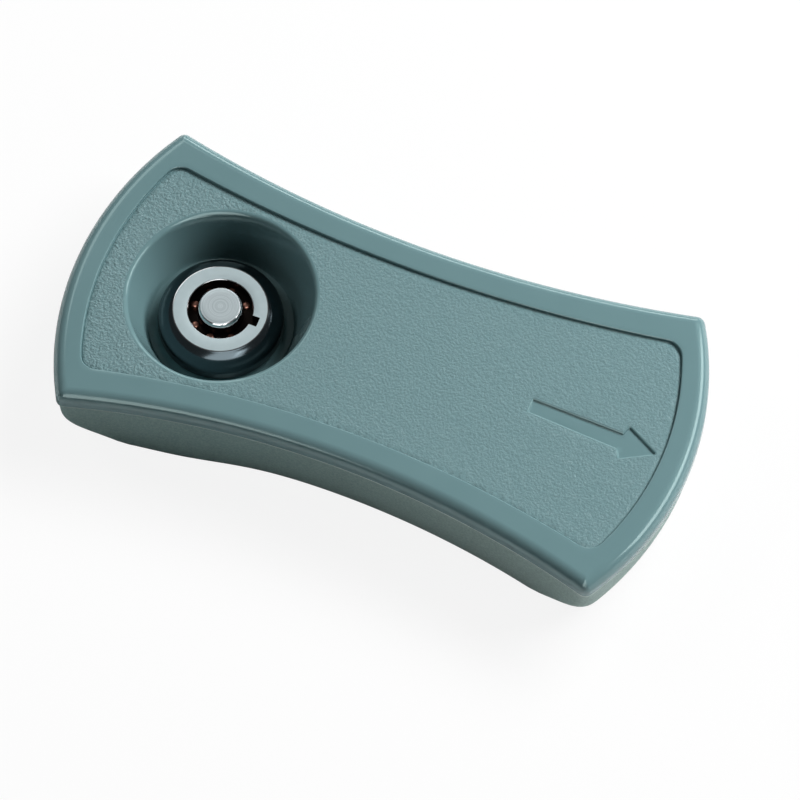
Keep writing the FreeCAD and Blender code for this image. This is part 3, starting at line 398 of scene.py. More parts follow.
def grained_plastic():
    """The panel's leather grain: rounded pebbles, a little longer one way, with painted shade in their low
    spots.
    """
    f = Finish("grained_plastic")
    stretched = f.add("ShaderNodeMapping", {"vector_type": "TEXTURE"},
                      {"Vector": f.place, "Rotation": (0, 0, GRAIN_ANGLE), "Scale": GRAIN_STRETCH},
                      "Vector")
    pebble = f.noise(2.8, 2, 0.5, stretched)
    patch = f.noise(1.1, 2, 0.5, stretched)
    deep = 1.8 - f.toward_nose(-46, -8) * 0.8
    height = (pebble * 0.8 + patch * 0.4) * deep
    # Painted shade: the pebbles' low spots are painted darker.
    colour = f.mix(f.smooth(pebble, 0.35, 0.65), SAGE_DEEP, SAGE)
    return f.done(base_color=colour, roughness=0.30 + pebble * 0.12, specular_ior_level=0.8,
                  normal=f.bump(height, 0.18))


def wall_plastic():
    """The blasted wall under the parting line, with painted light that makes it paler toward the nose."""
    f = Finish("wall_plastic")
    sand = f.noise(2.8, 3, 0.7)
    cloud = f.noise(0.08, 2)
    # Painted light: the wall is painted paler toward the nose.
    painted_nose_light = f.toward_nose(-25, 45)
    speck = f.mix(f.smooth(sand, 0.35, 0.7), f.mix(painted_nose_light, WALL_DEEP, NOSE_LIT_DEEP),
                  f.mix(painted_nose_light, WALL_SAGE, NOSE_LIT_SAGE))
    colour = f.mix(cloud * 0.25, speck, SAGE_DEEP)
    return f.done(base_color=colour, roughness=0.45 + sand * 0.15, specular_ior_level=0.85,
                  specular_tint=WALL_SHEEN, normal=f.bump(sand, 0.035))


def inner_plastic():
    """The plain inside of the moulding."""
    f = Finish("inner_plastic")
    flow = f.noise(0.25, 3, 0.6)
    colour = f.mix(flow, SAGE_DEEP, SAGE)
    return f.done(base_color=colour, roughness=0.45 + flow * 0.1, normal=f.bump(flow, 0.02))


def flash_plastic():
    """The trimmed flash on the parting line: nicked, with a painted highlight that grows toward the nose.
    """
    f = Finish("flash_plastic")
    nick = f.noise(0.5, 3, 0.6)
    # Painted highlight: the flash is painted paler toward the nose.
    pale = f.mix(f.toward_nose(-30, 20), FLASH_SAGE, NOSE_LIT_FLASH)
    colour = f.mix(f.smooth(nick, 0.2, 0.45), WALL_SAGE, pale)
    return f.done(base_color=colour, roughness=0.35 + nick * 0.2)


RIM, GRAIN, WALL, INSIDE, FLASH = range(5)
cover_finishes = [satin_plastic(), grained_plastic(), wall_plastic(), inner_plastic(), flash_plastic()]
print("plastics:", [m.name for m in cover_finishes])

# %% [markdown]
# ## The arrow
# A short arrow is sunk into the panel and shows which way the cover slides. It
# could be a flat decal, but its soft edge catches the light, so it is modelled.
# The outline is a polygon with a radius at each corner; the inner corner towards
# the viewer has the largest, as the tool that cut the mould left it. Shifting
# its sides in or out and changing the radii with them gives the same number of
# points again, so its soft edge is built of rings like the rest.

# %% The arrow's outline at any offset
# Each corner's x and y, and its radius.
ARROW = [(24.1, -0.77, 0.12), (38.6, -1.15, 0.55), (39.25, -2.6, 0.3), (44.15, 0.30, 0.12),
         (39.05, 2.85, 0.15), (38.55, 1.38, 0.12), (24.05, 1.37, 0.12)]
BEND_STEPS = 6
TIGHTEST = 0.03


def arrow(grow):
    """The arrow let out by an amount, with rounded corners."""
    count, loop = len(ARROW), []
    spots = [Vector(p[:2]) for p in ARROW]
    ways = [(spots[(i + 1) % count] - spots[i]).normalized() for i in range(count)]
    for i in range(count):
        before, after = ways[i - 1], ways[i]
        turn = before.x * after.y - before.y * after.x
        swing = math.atan2(turn, before.dot(after))
        normal = Vector((before.y, -before.x))
        corner = spots[i] + (normal + before * math.tan(swing / 2)) * grow
        radius = max(ARROW[i][2] + (grow if turn > 0 else -grow), TIGHTEST)
        inward = Vector((-before.y, before.x)) * (1 if turn > 0 else -1)
        start = corner - before * radius * math.tan(abs(swing) / 2)
        centre = start + inward * radius
        spoke = start - centre
        for step in range(BEND_STEPS + 1):
            a = swing * step / BEND_STEPS
            loop.append((centre.x + spoke.x * math.cos(a) - spoke.y * math.sin(a),
                         centre.y + spoke.x * math.sin(a) + spoke.y * math.cos(a)))
    return loop


print("arrow from", ARROW[0][0], "to", ARROW[3][0])

# %% [markdown]
# ## The cover
# The skin starts at the foot of the wall and climbs: a drawn-in wall, a fine
# bead at the parting line where the two halves of the mould met, the broad
# rounding, the flat rim, and the soft step down into the panel, with a shallow
# line round the panel's foot. Then it runs down the well, under the ledge, over
# the hollow inside with its screw bosses, and back to the foot. It could be a
# block with bevels, but a bevel can't follow corners this tight. Each level here
# is a ring of the same outline, so the quads stay even.

# %% The wall
SHOULDER = 5.1           # height at which the wall's draw changes
SHOULDER_SHARE = 0.21    # how much of the foot's draw the shoulder has
SOFTEN = 1.8             # the shoulder is soft this far up and down
STEP = 0.15              # the wall stands back from the bead by this
BEAD_FOOT = 0.5          # the bead's foot, under the parting line
# The foot's small rounding: how far it is drawn in, and how high over the foot.
TOE, TOE_TOP = [(0.25, 0.0), (0.08, 0.07)], 0.25
# The wall is a little fuller beside the lock: how much, where and how wide.
BELLY, BELLY_AT, BELLY_REACH = 0.9, -24.5, 9.5
FOOT = [47.15, 17.9, 145.0, 45.5, 10.4]
WAIST_STEP = [HALF_LENGTH - STEP, WAIST - STEP, HOLLOW + STEP, END - STEP, CORNER]
MIDDLE = [HALF_LENGTH - STEP - 2.5 * SHOULDER_SHARE, WAIST - STEP - 1.4 * SHOULDER_SHARE,
          HOLLOW - 21.5 * SHOULDER_SHARE, END - STEP - 2.5 * SHOULDER_SHARE, 2.4]
LOW_STEPS, SOFT_STEPS, HIGH_STEPS = 5, 8, 6


def blend(first, second, share):
    return [a + (b - a) * share for a, b in zip(first, second)]


def wall_levels():
    """The drawn-in wall. Its shoulder is softened over a short height."""
    upper = HEIGHT - PARTING
    low = blend(MIDDLE, FOOT, SOFTEN / (SHOULDER - FLOOR_GAP))
    high = blend(MIDDLE, WAIST_STEP, SOFTEN / (upper - SHOULDER))
    plans = [(FLOOR_GAP + rise, [v - d for v, d in zip(FOOT, (inset, inset, -inset, inset, inset))])
             for inset, rise in TOE]
    for i in range(1, LOW_STEPS + 1):
        share = i / LOW_STEPS
        plans.append((FLOOR_GAP + TOE_TOP + (SHOULDER - SOFTEN - FLOOR_GAP - TOE_TOP) * share,
                      blend(FOOT, low, share)))
    for i in range(1, SOFT_STEPS):
        share = i / SOFT_STEPS
        one, two = blend(low, MIDDLE, share), blend(MIDDLE, high, share)
        plans.append((SHOULDER - SOFTEN + 2 * SOFTEN * share, blend(one, two, share)))
    for i in range(HIGH_STEPS + 1):
        share = i / HIGH_STEPS
        plans.append((SHOULDER + SOFTEN + (upper - SHOULDER - SOFTEN) * share,
                      blend(high, WAIST_STEP, share)))
    levels = []
    for z, plan in plans:
        full = BELLY * (upper - z) / (upper - FLOOR_GAP)
        levels.append([(x, y + math.copysign(full, y) * math.exp(-((x - BELLY_AT) / BELLY_REACH) ** 2),
                        min(z, crown(x, PARTING + BEAD_FOOT))) for x, y in waisted(*plan)])
    return levels


print("levels of the wall:", len(wall_levels()))

# %% The bead, the rounding and the step into the panel
# How far a level is drawn in, and how deep it lies under the top.
BEAD = [(0.14, 3.46), (0.11, 3.34), (0.04, 3.24), (0.0, 3.16), (0.0, 3.0)]
FLANK = [(0.02, 2.92), (0.02, 2.7), (0.0, 2.4)]
# How far a level is let out from the panel's outline, and how deep it lies.
LIPS = [(0.22, 0.0), (0.14, 0.014), (0.08, 0.045), (0.035, 0.095), (0.01, 0.16), (0.0, 0.24)]
FOOT_LINE = [(-0.01, 0.48), (-0.03, 0.63), (-0.08, 0.67), (-0.14, 0.61), (-0.22, PANEL_DEPTH)]
EDGE_STEPS, RIM_STEPS = 16, 5


def flank_levels():
    """The bead on the parting line, then the rounding up to the flat rim."""
    turns = [math.pi / 2 * i / EDGE_STEPS for i in range(EDGE_STEPS + 1)]
    rounding = [(EDGE_ROUND * (1 - math.cos(a)), EDGE_ROUND * (1 - math.sin(a))) for a in turns]
    return [[[(x, y, crown(x, drop)) for x, y in outer(inset)] for inset, drop in part]
            for part in (BEAD, FLANK + rounding)]


def step_levels():
    """Across the rim and down the soft step into the panel."""
    inner, edge = outer(EDGE_ROUND), panel(LIPS[0][0])
    levels = []
    for i in range(1, RIM_STEPS):
        level = [blend(a, b, i / RIM_STEPS) for a, b in zip(inner, edge)]
        levels.append([(x, y, crown(x)) for x, y in level])
    for grow, drop in LIPS + FOOT_LINE:
        levels.append([(x, y, crown(x, drop)) for x, y in panel(grow)])
    return levels


print("levels above the wall:", [len(part) for part in flank_levels()], len(step_levels()))

# %% Rings of the well
ROUND_STEPS = 192
TURNS = [2 * math.pi * i / ROUND_STEPS for i in range(ROUND_STEPS)]
WELL_FLOOR = 11.2        # radius at the ledge
WELL_SPREAD = 3.2        # how much wider it is at the panel
LIP = 0.85               # rounding of the mouth
LIP_REACH = 15.1         # radius at which the lip meets the panel
LIP_STEPS, FLARE_STEPS = 8, 12
FLARE = WELL_SPREAD / (crown(AXIS, PANEL_DEPTH) - LEDGE_TOP)
LIP_TURN = math.pi / 2 - math.atan(FLARE)
# The small rounding at the ledge: how far out, and how far up.
LEDGE_ROUND = [(0.14, 0.4), (-0.02, 0.12), (-0.16, 0.0)]
HOLE_RADIUS, HOLE_FLAT = 7.5, 7.0


def round_level(radius, z, steps=ROUND_STEPS, x=AXIS, y=0.0):
    turns = [2 * math.pi * i / steps for i in range(steps)]
    return [(x + radius * math.cos(a), y + radius * math.sin(a), z) for a in turns]


def well_levels():
    """Down the rounded lip and the flared wall to the ledge."""
    levels = []
    tops = [crown(AXIS + LIP_REACH * math.cos(a), PANEL_DEPTH) for a in TURNS]
    mouths = [WELL_FLOOR + FLARE * (top - LEDGE_TOP) + LIP * math.tan(LIP_TURN / 2) for top in tops]
    for i in range(LIP_STEPS + 1):
        bend = LIP_TURN * i / LIP_STEPS
        inward, down = LIP * math.sin(bend), LIP * (1 - math.cos(bend))
        levels.append([(AXIS + (mouth - inward) * math.cos(a), (mouth - inward) * math.sin(a), top - down)
                       for a, mouth, top in zip(TURNS, mouths, tops)])
    lip_foot = levels[-1]
    wall_foot, *ledge = [round_level(WELL_FLOOR + out, LEDGE_TOP + up) for out, up in LEDGE_ROUND]
    for i in range(1, FLARE_STEPS + 1):
        levels.append([blend(a, b, i / FLARE_STEPS) for a, b in zip(lip_foot, wall_foot)])
    return levels + ledge


def shank_level(z):
    """The hole for the lock's shank: round, with two flats."""
    level = []
    for a in TURNS:
        reach = min(HOLE_RADIUS, HOLE_FLAT / max(abs(math.sin(a)), 1e-6))
        level.append((AXIS + reach * math.cos(a), reach * math.sin(a), z))
    return level


print("well mouth radius:", round(WELL_FLOOR + WELL_SPREAD, 2))

# %% The outside of the cover
# The arrow's soft edge: how far it is let out, and how deep it lies.
ARROW_TOP = 0.3
ARROW_EDGE = [(0.2, 0.02), (0.11, 0.06), (0.05, 0.12), (0.01, 0.2), (-0.02, 0.31), (-0.05, 0.37),
              (-0.12, ARROW_DEPTH)]


def cover_outside(skin):
    """The skin that shows; returns its lowest ring and that of the shank's hole."""
    foot = skin.ring(wall_levels()[0])
    wall_top = skin.stack(foot, wall_levels()[1:], WALL)
    bead, flank = flank_levels()
    bead_foot = skin.stack(wall_top, bead[:2], WALL)
    bead_top = skin.stack(bead_foot, bead[2:], FLASH)
    rim = skin.stack(bead_top, flank, RIM)
    panel_edge = skin.stack(rim, step_levels(), RIM)

    mouth = skin.ring(well_levels()[0])
    well_foot = skin.stack(mouth, well_levels()[1:], RIM)
    arrow_edge = skin.ring([(x, y, crown(x, PANEL_DEPTH)) for x, y in arrow(ARROW_TOP)])
    skin.fill(panel_edge, [mouth, arrow_edge], lambda x: crown(x, PANEL_DEPTH), spacing=1.0, finish=GRAIN)
    arrow_levels = [[(x, y, crown(x, PANEL_DEPTH + drop)) for x, y in arrow(grow)]
                    for grow, drop in ARROW_EDGE]
    arrow_foot = skin.stack(arrow_edge, arrow_levels, RIM)
    skin.fill(arrow_foot, [], lambda x: crown(x, PANEL_DEPTH + ARROW_DEPTH), spacing=0.7, finish=RIM)

    hole = skin.ring(shank_level(LEDGE_TOP))
    skin.bridge(well_foot, hole, RIM)
    return foot, hole


print("levels of the arrow's edge:", len(ARROW_EDGE) + 1)

# %% The inside of the cover
INNER_PLAN = (45.35, 16.1, 146.8, 43.7, 8.6)
# The tube round the well: its radius at the seat, and under the top.
TUBE_LOW, TUBE_HIGH = 13.0, 15.9
RAIL_SCREW, TONGUE_SCREW, STOP_PIN = (34.0, 16.6), (32.5, 6.0), (20.0, 0.0)
# Radius, radius of the bore and height of the bore's end.
SCREW_BOSS, PIN_BOSS = (3.15, 1.95, 8.3), (2.7, 1.5, 9.3)
BOSSES = [(RAIL_SCREW[0] * a, RAIL_SCREW[1] * b, *SCREW_BOSS) for a in (-1, 1) for b in (-1, 1)]
BOSSES += [(TONGUE_SCREW[0], TONGUE_SCREW[1] * b, *SCREW_BOSS) for b in (-1, 1)]
BOSSES += [(*STOP_PIN, *PIN_BOSS)]
BOSS_STEPS = 40


def cover_inside(skin, foot, hole):
    """The hollow under the top, with its bosses and the tube round the well."""
    under = skin.ring(shank_level(SEAT))
    skin.bridge(hole, under, INSIDE)
    tube = skin.ring(round_level(TUBE_LOW, SEAT))
    skin.bridge(under, tube, INSIDE)
    tube_top = skin.ring([(x, y, crown(x, CEILING)) for x, y, z in round_level(TUBE_HIGH, 0)])
    skin.bridge(tube, tube_top, INSIDE)

    plan = waisted(*INNER_PLAN)
    inner_foot = skin.ring([(x, y, FLOOR_GAP) for x, y in plan])
    skin.bridge(inner_foot, foot, INSIDE)
    inner_levels = [[(x, y, FLOOR_GAP + (crown(x, CEILING) - FLOOR_GAP) * s) for x, y in plan]
                    for s in (0.5, 1.0)]
    inner_top = skin.stack(inner_foot, inner_levels, INSIDE)
    rings = [tube_top]
    for x, y, radius, bore, bore_end in BOSSES:
        top = skin.ring([(a, b, crown(a, CEILING)) for a, b, z in round_level(radius, 0, BOSS_STEPS, x, y)])
        rings.append(top)
        bottom = skin.stack(top, [round_level(radius, SEAT, BOSS_STEPS, x, y),
                                  round_level(bore, SEAT, BOSS_STEPS, x, y),
                                  round_level(bore, bore_end, BOSS_STEPS, x, y)], INSIDE)
        skin.cap(bottom, INSIDE)
    skin.fill(inner_top, rings, lambda x: crown(x, CEILING), spacing=2.5, finish=INSIDE)


cover_skin = Skin()
cover_inside(cover_skin, *cover_outside(cover_skin))
cover = cover_skin.build("cover_moulding", cover_finishes)
weigh = cover.modifiers.new("even_normals", "WEIGHTED_NORMAL")
weigh.weight = 60
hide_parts("cover_shell")
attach(cover, "cover")
print("cover:", len(cover.data.vertices), "points", len(cover.data.polygons), "faces")

# %% [markdown]
# ## Metals, rubber and the other plastics
# The lock's head is plated. Its ring face is satin from a fine grinding, its
# domed side is polished and mirrors the dark well, and the post's face shows the
# rings that the lathe left. The base plate and the rails are zinc-plated steel,
# the inserts are brass and the seals are black rubber. One flat colour each
# would do from afar, but metal is told by its small unevenness, so each gets
# some noise in its colour, its roughness and its bumps.

# %% Metals
def satin_ring():
    """Ground and plated face with a fine, even tooth."""
    f = Finish("satin_ring")
    tooth = f.noise(9.0, 2, 0.6)
    cloud = f.noise(0.9, 3)
    colour = f.mix(cloud, (0.40, 0.49, 0.51), (0.46, 0.55, 0.57))
    return f.done(base_color=colour, metallic=0.3, roughness=0.42 + tooth * 0.14,
                  normal=f.bump(tooth, 0.006))


def polished(name, colour, rough):
    """Polished plating, with faint long waves."""
    f = Finish(name)
    wave = f.noise(0.5, 2)
    bright = tuple(min(c * 1.12, 1) for c in colour)
    return f.done(base_color=f.mix(wave, colour, bright), metallic=1.0, roughness=rough + wave * 0.05,
                  normal=f.bump(wave, 0.004))


def lathe_rings():
    """A turned face: fine, uneven rings round the lock's axis."""
    f = Finish("turned_face")
    centred = f.add("ShaderNodeVectorMath", {"operation": "SUBTRACT"}, {0: f.place, 1: (AXIS * MM, 0, 0)})
    level = f.add("ShaderNodeVectorMath", {"operation": "MULTIPLY"}, {0: centred, 1: (1, 1, 0)})
    reach = f.add("ShaderNodeVectorMath", {"operation": "LENGTH"}, {0: level}, "Value") / MM
    uneven = f.add("ShaderNodeTexNoise", {"noise_dimensions": "1D"},
                   {"W": reach * 4.6, "Scale": 1.0, "Detail": 2}, "Fac")
    colour = f.mix(f.smooth(uneven, 0.3, 0.7), (0.40, 0.47, 0.49), (0.54, 0.61, 0.63))
    return f.done(base_color=colour, metallic=0.35, roughness=0.30 + uneven * 0.12,
                  normal=f.bump(uneven, 0.02))


def plated_steel(name, low, high):
    """Plated or drawn metal, cloudy, with fine scratches along x."""
    f = Finish(name)
    cloud = f.noise(0.35, 4, 0.6)
    drawn = f.add("ShaderNodeMapping", {}, {"Vector": f.place, "Scale": (0.08, 1, 1)}, "Vector")
    scratch = f.noise(4.0, 2, 0.5, drawn)
    return f.done(base_color=f.mix(cloud, low, high), metallic=1.0,
                  roughness=0.3 + cloud * 0.1 + scratch * 0.08, normal=f.bump(scratch, 0.006))


FACE = satin_ring()
DOME = polished("polished_head", (0.068, 0.088, 0.098), 0.13)
CHROME = polished("polished_chrome", (0.55, 0.57, 0.58), 0.06)
TURNED = lathe_rings()
DARK = plated_steel("keyway_shadow", (0.012, 0.010, 0.009), (0.03, 0.024, 0.02))
COPPER = polished("pin_brass", (0.48, 0.24, 0.18), 0.35)
ZINC = plated_steel("zinc_plate", (0.55, 0.56, 0.57), (0.70, 0.70, 0.69))
SCREW = plated_steel("screw_steel", (0.42, 0.43, 0.44), (0.58, 0.58, 0.58))
SPRING = plated_steel("spring_steel", (0.35, 0.35, 0.36), (0.5, 0.5, 0.5))
BRASS = plated_steel("insert_brass", (0.62, 0.44, 0.18), (0.75, 0.56, 0.26))
BRONZE = plated_steel("bush_bronze", (0.45, 0.27, 0.13), (0.58, 0.36, 0.18))
print("with the metals:", len(bpy.data.materials), "finishes")


# %% Rubber and liner plastic
def dull(name, low, high, rough, grain):
    """Rubber, liner plastic and other dull stuff."""
    f = Finish(name)
    speck = f.noise(grain, 3, 0.6)
    return f.done(base_color=f.mix(speck, low, high), roughness=rough + speck * 0.1,
                  normal=f.bump(speck, 0.02))


RUBBER = dull("seal_rubber", (0.012, 0.012, 0.013), (0.025, 0.025, 0.026), 0.6, 3.0)
LINER = dull("liner_plastic", (0.60, 0.59, 0.55), (0.70, 0.69, 0.65), 0.4, 1.0)
print("with the dull ones:", len(bpy.data.materials), "finishes")

# %% [markdown]
# ## The lock's head and plug
# Both are turned parts, so each is a profile swept round the lock's axis. The
# Screw modifier could do that, but sweeping in code lets each stretch of the
# profile have its own finish, such as the satin ring between two bright
# chamfers. The key's notch and the flats on the shank are cut afterwards, since
# they are the only places that aren't round.

# %% Sweeping a profile
def swept(name, profile, finishes):
    """A closed solid from (radius, height, finish) points round the lock's axis.

    A profile that starts and ends on the axis is closed by fans, and any other
    by a last band back to its start.
    """
    skin = Skin()
    off_axis = [point for point in profile if point[0] > 0]
    rings = [skin.ring(round_level(radius, z)) for radius, z, finish in off_axis]
    for lower, upper, (radius, z, finish) in zip(rings, rings[1:], off_axis[1:]):
        skin.bridge(lower, upper, finish)
    if profile[0][0] > 0:
        skin.bridge(rings[-1], rings[0], profile[0][2])
    else:
        skin.cap(rings[0], profile[0][2])
        skin.cap(rings[-1], profile[-1][2])
    return skin.build(name, finishes)


print("profiles can be swept")

# %% Cutting and joining
CREASE = math.radians(32)


def rectangle(west, east, south, north):
    return [(west, south), (east, south), (east, north), (west, north)]


def prism(name, loop, low, high, finish):
    """A cutting block on a flat outline; its finish stays on what it cuts."""
    skin = Skin()
    bottom = skin.ring([(x, y, low) for x, y in loop])
    top = skin.ring([(x, y, high) for x, y in loop])
    skin.bridge(bottom, top)
    skin.faces += [tuple(bottom), tuple(top)]
    skin.finishes += [0, 0]
    return skin.build(name, [finish])


def carve(piece, cutters):
    """Cut blocks out of a piece and remove them."""
    for cutter in cutters:
        step = piece.modifiers.new("carve", "BOOLEAN")
        step.operation, step.solver, step.object = "DIFFERENCE", "EXACT", cutter
        step.material_mode = "TRANSFER"
        graph = bpy.context.evaluated_depsgraph_get()
        mesh = bpy.data.meshes.new_from_object(piece.evaluated_get(graph))
        piece.modifiers.clear()
        piece.data = mesh
        bpy.data.objects.remove(cutter)
    piece.data.shade_smooth()
    piece.data.set_sharp_from_angle(angle=CREASE)


def join(piece, other):
    """Add another object's mesh to a piece, with its first finish."""
    work = bmesh.new()
    work.from_mesh(piece.data)
    first = len(work.faces)
    work.from_mesh(other.data)
    work.faces.ensure_lookup_table()
    spot = list(piece.data.materials).index(other.data.materials[0])
    for face in work.faces[first:]:
        face.material_index = spot
        face.smooth = False
    work.to_mesh(piece.data)
    work.free()
    bpy.data.objects.remove(other)


print("pieces can be cut and joined")

# %% The barrel
PIN_CIRCLE = 4.2         # radius of the circle that the pins stand on
NOTCH_HALF, NOTCH_OUT, NOTCH_FLOOR = 0.8, 6.2, 8.2
# The domed side is part of an ellipse: its centre, its half axes and its start.
DOME_CENTRE, DOME_AXES, DOME_START = (5.57, 7.4), (4.09, 3.28), 0.464
# The shank's flats and the clip's grooves: distance, lowest and highest point.
FLATS = [(6.9, 1.0, 5.8), (6.4, 3.55, 4.3)]
CLEAR = 9                # well outside the shank
TAB_HALF, TAB_REACH = 0.85, 6.45
F_FACE, F_DOME, F_EDGE, F_DARK, F_SHANK = range(5)


def barrel():
    profile = [(4.98, 8.2, F_DARK), (4.98, 10.25, F_DARK), (5.02, 10.34, F_EDGE), (5.12, 10.4, F_EDGE),
               (6.2, 10.4, F_FACE), (7.18, 10.4, F_FACE), (7.32, 10.385, F_EDGE)]
    profile += [(DOME_CENTRE[0] + DOME_AXES[0] * math.sin(a), DOME_CENTRE[1] + DOME_AXES[1] * math.cos(a),
                 F_DOME) for a in np.linspace(DOME_START, math.pi / 2, 28)]
    profile += [(9.7, 6.3, F_DOME), (9.66, 5.9, F_DOME), (9.56, 5.8, F_DOME), (7.4, 5.8, F_SHANK),
                (7.4, 1.8, F_SHANK), (7.25, 1.65, F_SHANK), (5.7, 1.65, F_SHANK), (5.6, 1.75, F_SHANK),
                (5.6, 8.2, F_SHANK)]
    piece = swept("lock_head", profile, [FACE, DOME, CHROME, DARK, SCREW])
    notch = rectangle(AXIS + PIN_CIRCLE, AXIS + NOTCH_OUT, -NOTCH_HALF, NOTCH_HALF)
    blocks = [prism("notch", notch, NOTCH_FLOOR, 11.0, DARK)]
    for sign in (-1, 1):
        for near, low, high in FLATS:
            flat = rectangle(AXIS - CLEAR, AXIS + CLEAR, near * sign, CLEAR * sign)
            blocks.append(prism("flat", flat, low, high, SCREW))
    # A quarter of the shank's end is cut away for the stop washer's tab.
    rim = [(AXIS + TAB_REACH * math.cos(math.radians(a)), TAB_REACH * math.sin(math.radians(a)))
           for a in range(-97, -173, -5)]
    window = [(AXIS + TAB_HALF, -0.3), (AXIS + TAB_HALF, -6.4)] + rim
    window += [(AXIS - 6.4, TAB_HALF), (AXIS - 0.3, TAB_HALF)]
    blocks.append(prism("window", window, 1.0, 2.05, SCREW))
    carve(piece, blocks)
    return piece


head = barrel()
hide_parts("lock_barrel")
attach(head, "cover")
print("lock head:", len(head.data.polygons), "faces")

# %% The plug with its post
PIN_BORE, BORE_STEPS = 0.65, 24
SQUARE_HALF = 1.7
PINS = range(1, 8)       # the notch has the first of eight places


def pin_place(k):
    """Where a pin stands on the circle of pins."""
    a = math.radians(45 * k)
    return AXIS + PIN_CIRCLE * math.cos(a), PIN_CIRCLE * math.sin(a)


def plug():
    profile = [(0, 11.3, 0), (1.2, 11.3, 0), (2.2, 11.3, 0), (3.04, 11.3, 0), (3.1, 11.27, 1),
               (3.43, 10.75, 1), (3.47, 10.65, 1), (3.47, 8.15, 2), (5.5, 8.15, 2), (5.55, 8.1, 2),
               (5.55, 5.95, 2), (5.5, 5.9, 2), (2.4, 5.9, 3), (2.4, 1.62, 3), (0, 1.62, 3)]
    piece = swept("lock_post", profile, [TURNED, CHROME, DARK, SCREW])
    square = prism("square", rectangle(AXIS - SQUARE_HALF, AXIS + SQUARE_HALF, -SQUARE_HALF, SQUARE_HALF),
                   0.7, 1.7, SCREW)
    bores = []
    for k in PINS:
        loop = [p[:2] for p in round_level(PIN_BORE, 0, BORE_STEPS, *pin_place(k))]
        bores.append(prism("bore", loop, 5.0, 9.0, DARK))
    carve(piece, bores)
    join(piece, square)
    return piece


post = plug()
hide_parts("lock_plug")
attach(post, "plug")
print("lock post:", len(post.data.polygons), "faces")

# %% [markdown]
# ## The key pins
# Seven brass pins stand in the round keyway, and the key presses each to its own
# depth. A real one is a small turned rod with a domed tip. A cylinder with a
# sphere on it would do, but a seam shows under such a dome, so each pin is one
# stack of rings. How high it stands follows the cuts of the key.

# %% Key pins with domed tips
PIN_FOOT, PIN_TOP, CUT = 5.9, 8.55, 0.2
KEY_CUTS = (0, 2, 1, 3, 0, 2, 1)
# Radius, and how far under the pin's top.
PIN_TIP = [(0.6, 0.25), (0.52, 0.1), (0.3, 0.02)]
PIN_STEPS = 24


def pins():
    """Seven pins in a circle, each a small turned rod with a domed tip."""
    skin = Skin()
    for k, cuts in zip(PINS, KEY_CUTS):
        place, top = pin_place(k), PIN_TOP + CUT * cuts
        foot = skin.ring(round_level(0.5, PIN_FOOT, PIN_STEPS, *place))
        skin.cap(foot)
        levels = [round_level(0.6, PIN_FOOT + 0.1, PIN_STEPS, *place)]
        levels += [round_level(radius, top - under, PIN_STEPS, *place) for radius, under in PIN_TIP]
        skin.cap(skin.stack(foot, levels))
    return skin.build("key_pins_tipped", [COPPER])


key_pins = pins()
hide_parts("key_pins")
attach(key_pins, "key_pins")
print("key pins:", len(key_pins.data.polygons), "faces")

# %% [markdown]
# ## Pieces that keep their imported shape
# Most pieces under the cover already have the right shape: rails, liners, base
# plate, tongue, screws, springs and cam. Finer copies could be built, but they
# would show only from below or with the lock taken apart, so these stay as they
# are and each only gets its finish.

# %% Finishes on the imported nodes
KEPT = [(ZINC, "plated_steel", "base_plate left_rail right_rail locking_tongue stop_washer cam"),
        (SCREW, "screw_steel", "rail_screws tongue_screws stop_pin sleeve_pin cam_screw"),
        (SPRING, "spring_steel", "pin_springs barrel_clip"),
        (BRASS, "insert_brass", "rail_inserts tongue_inserts"),
        (BRASS, "pin_brass", "pin_sleeve"),
        (COPPER, "pin_brass", "driver_pins"),
        (BRONZE, "bush_bronze", "stop_bush"),
        (LINER, "liner_plastic", "left_liner right_liner"),
        (RUBBER, "seal_rubber", "nose_bumper head_gasket")]
dressed = 0
for finish, slot, names in KEPT:
    for name in names.split():
        node = nodes[name]
        node.data.materials.clear()
        node.data.materials.append(finish)
        dressed += 1
print("nodes with a finish:", dressed, "of", len(nodes))

# %% [markdown]
# ## Floor and light
# The photograph is a cut-out on white, lit by large soft panels. One set of
# lamps could do it all, but what lights the part and what shows on its polish
# are easier to place apart. Three lamps give the light and show in no gloss: a
# strong one behind on the right, and two weak ones on the left. Six more only
# show in gloss: two windows in front, which are the two panes on the lock's
# side, two strips on the right, which draw the bright line round the nose, and
# two panels at the back, which pick out the lips of the panel and of the well.
# Floor and world are white to the camera but give only a plain, low light, so
# that colours render about as they are written.

# %% Floor
FLOOR_REACH, FLOOR_LEVEL = 3.0, -1e-4    # metres; a hair under the part's foot
CAMERA_SHARE = 0.88      # how much of the floor is plain white to the camera
GLOSS_SHARE = 0.03       # and to gloss behind the lock,
NOSE_SHARE = 0.15        # with this much more toward the nose


def floor_finish():
    """White to the camera, and still able to hold a shadow."""
    f = Finish("pale_floor")
    pale = f.mix(f.noise(0.02, 2), (0.80, 0.80, 0.80), (0.84, 0.84, 0.84))
    plain = f.add("ShaderNodeBsdfDiffuse", {}, {"Color": pale})
    glow = f.add("ShaderNodeEmission", {}, {"Color": (1, 1, 1, 1), "Strength": 1.0})
    seen, mirrored = [f.add("ShaderNodeLightPath", {}, {}, kind)
                      for kind in ("Is Camera Ray", "Is Glossy Ray")]
    share = seen * CAMERA_SHARE + mirrored * (f.toward_nose(-30, 50) * NOSE_SHARE + GLOSS_SHARE)
    both = f.add("ShaderNodeMixShader", {}, {0: share, 1: plain, 2: glow})
    f.add("ShaderNodeOutputMaterial", {}, {"Surface": both})
    return f.block


floor_mesh = bpy.data.meshes.new("floor")
floor_corners = rectangle(-FLOOR_REACH, FLOOR_REACH, -FLOOR_REACH, FLOOR_REACH)
floor_mesh.from_pydata([(x, y, FLOOR_LEVEL) for x, y in floor_corners], [], [(0, 1, 2, 3)])
floor_mesh.materials.append(floor_finish())
floor = bpy.data.objects.new("floor", floor_mesh)
bpy.context.scene.collection.objects.link(floor)
print("floor:", 2 * FLOOR_REACH, "m wide")


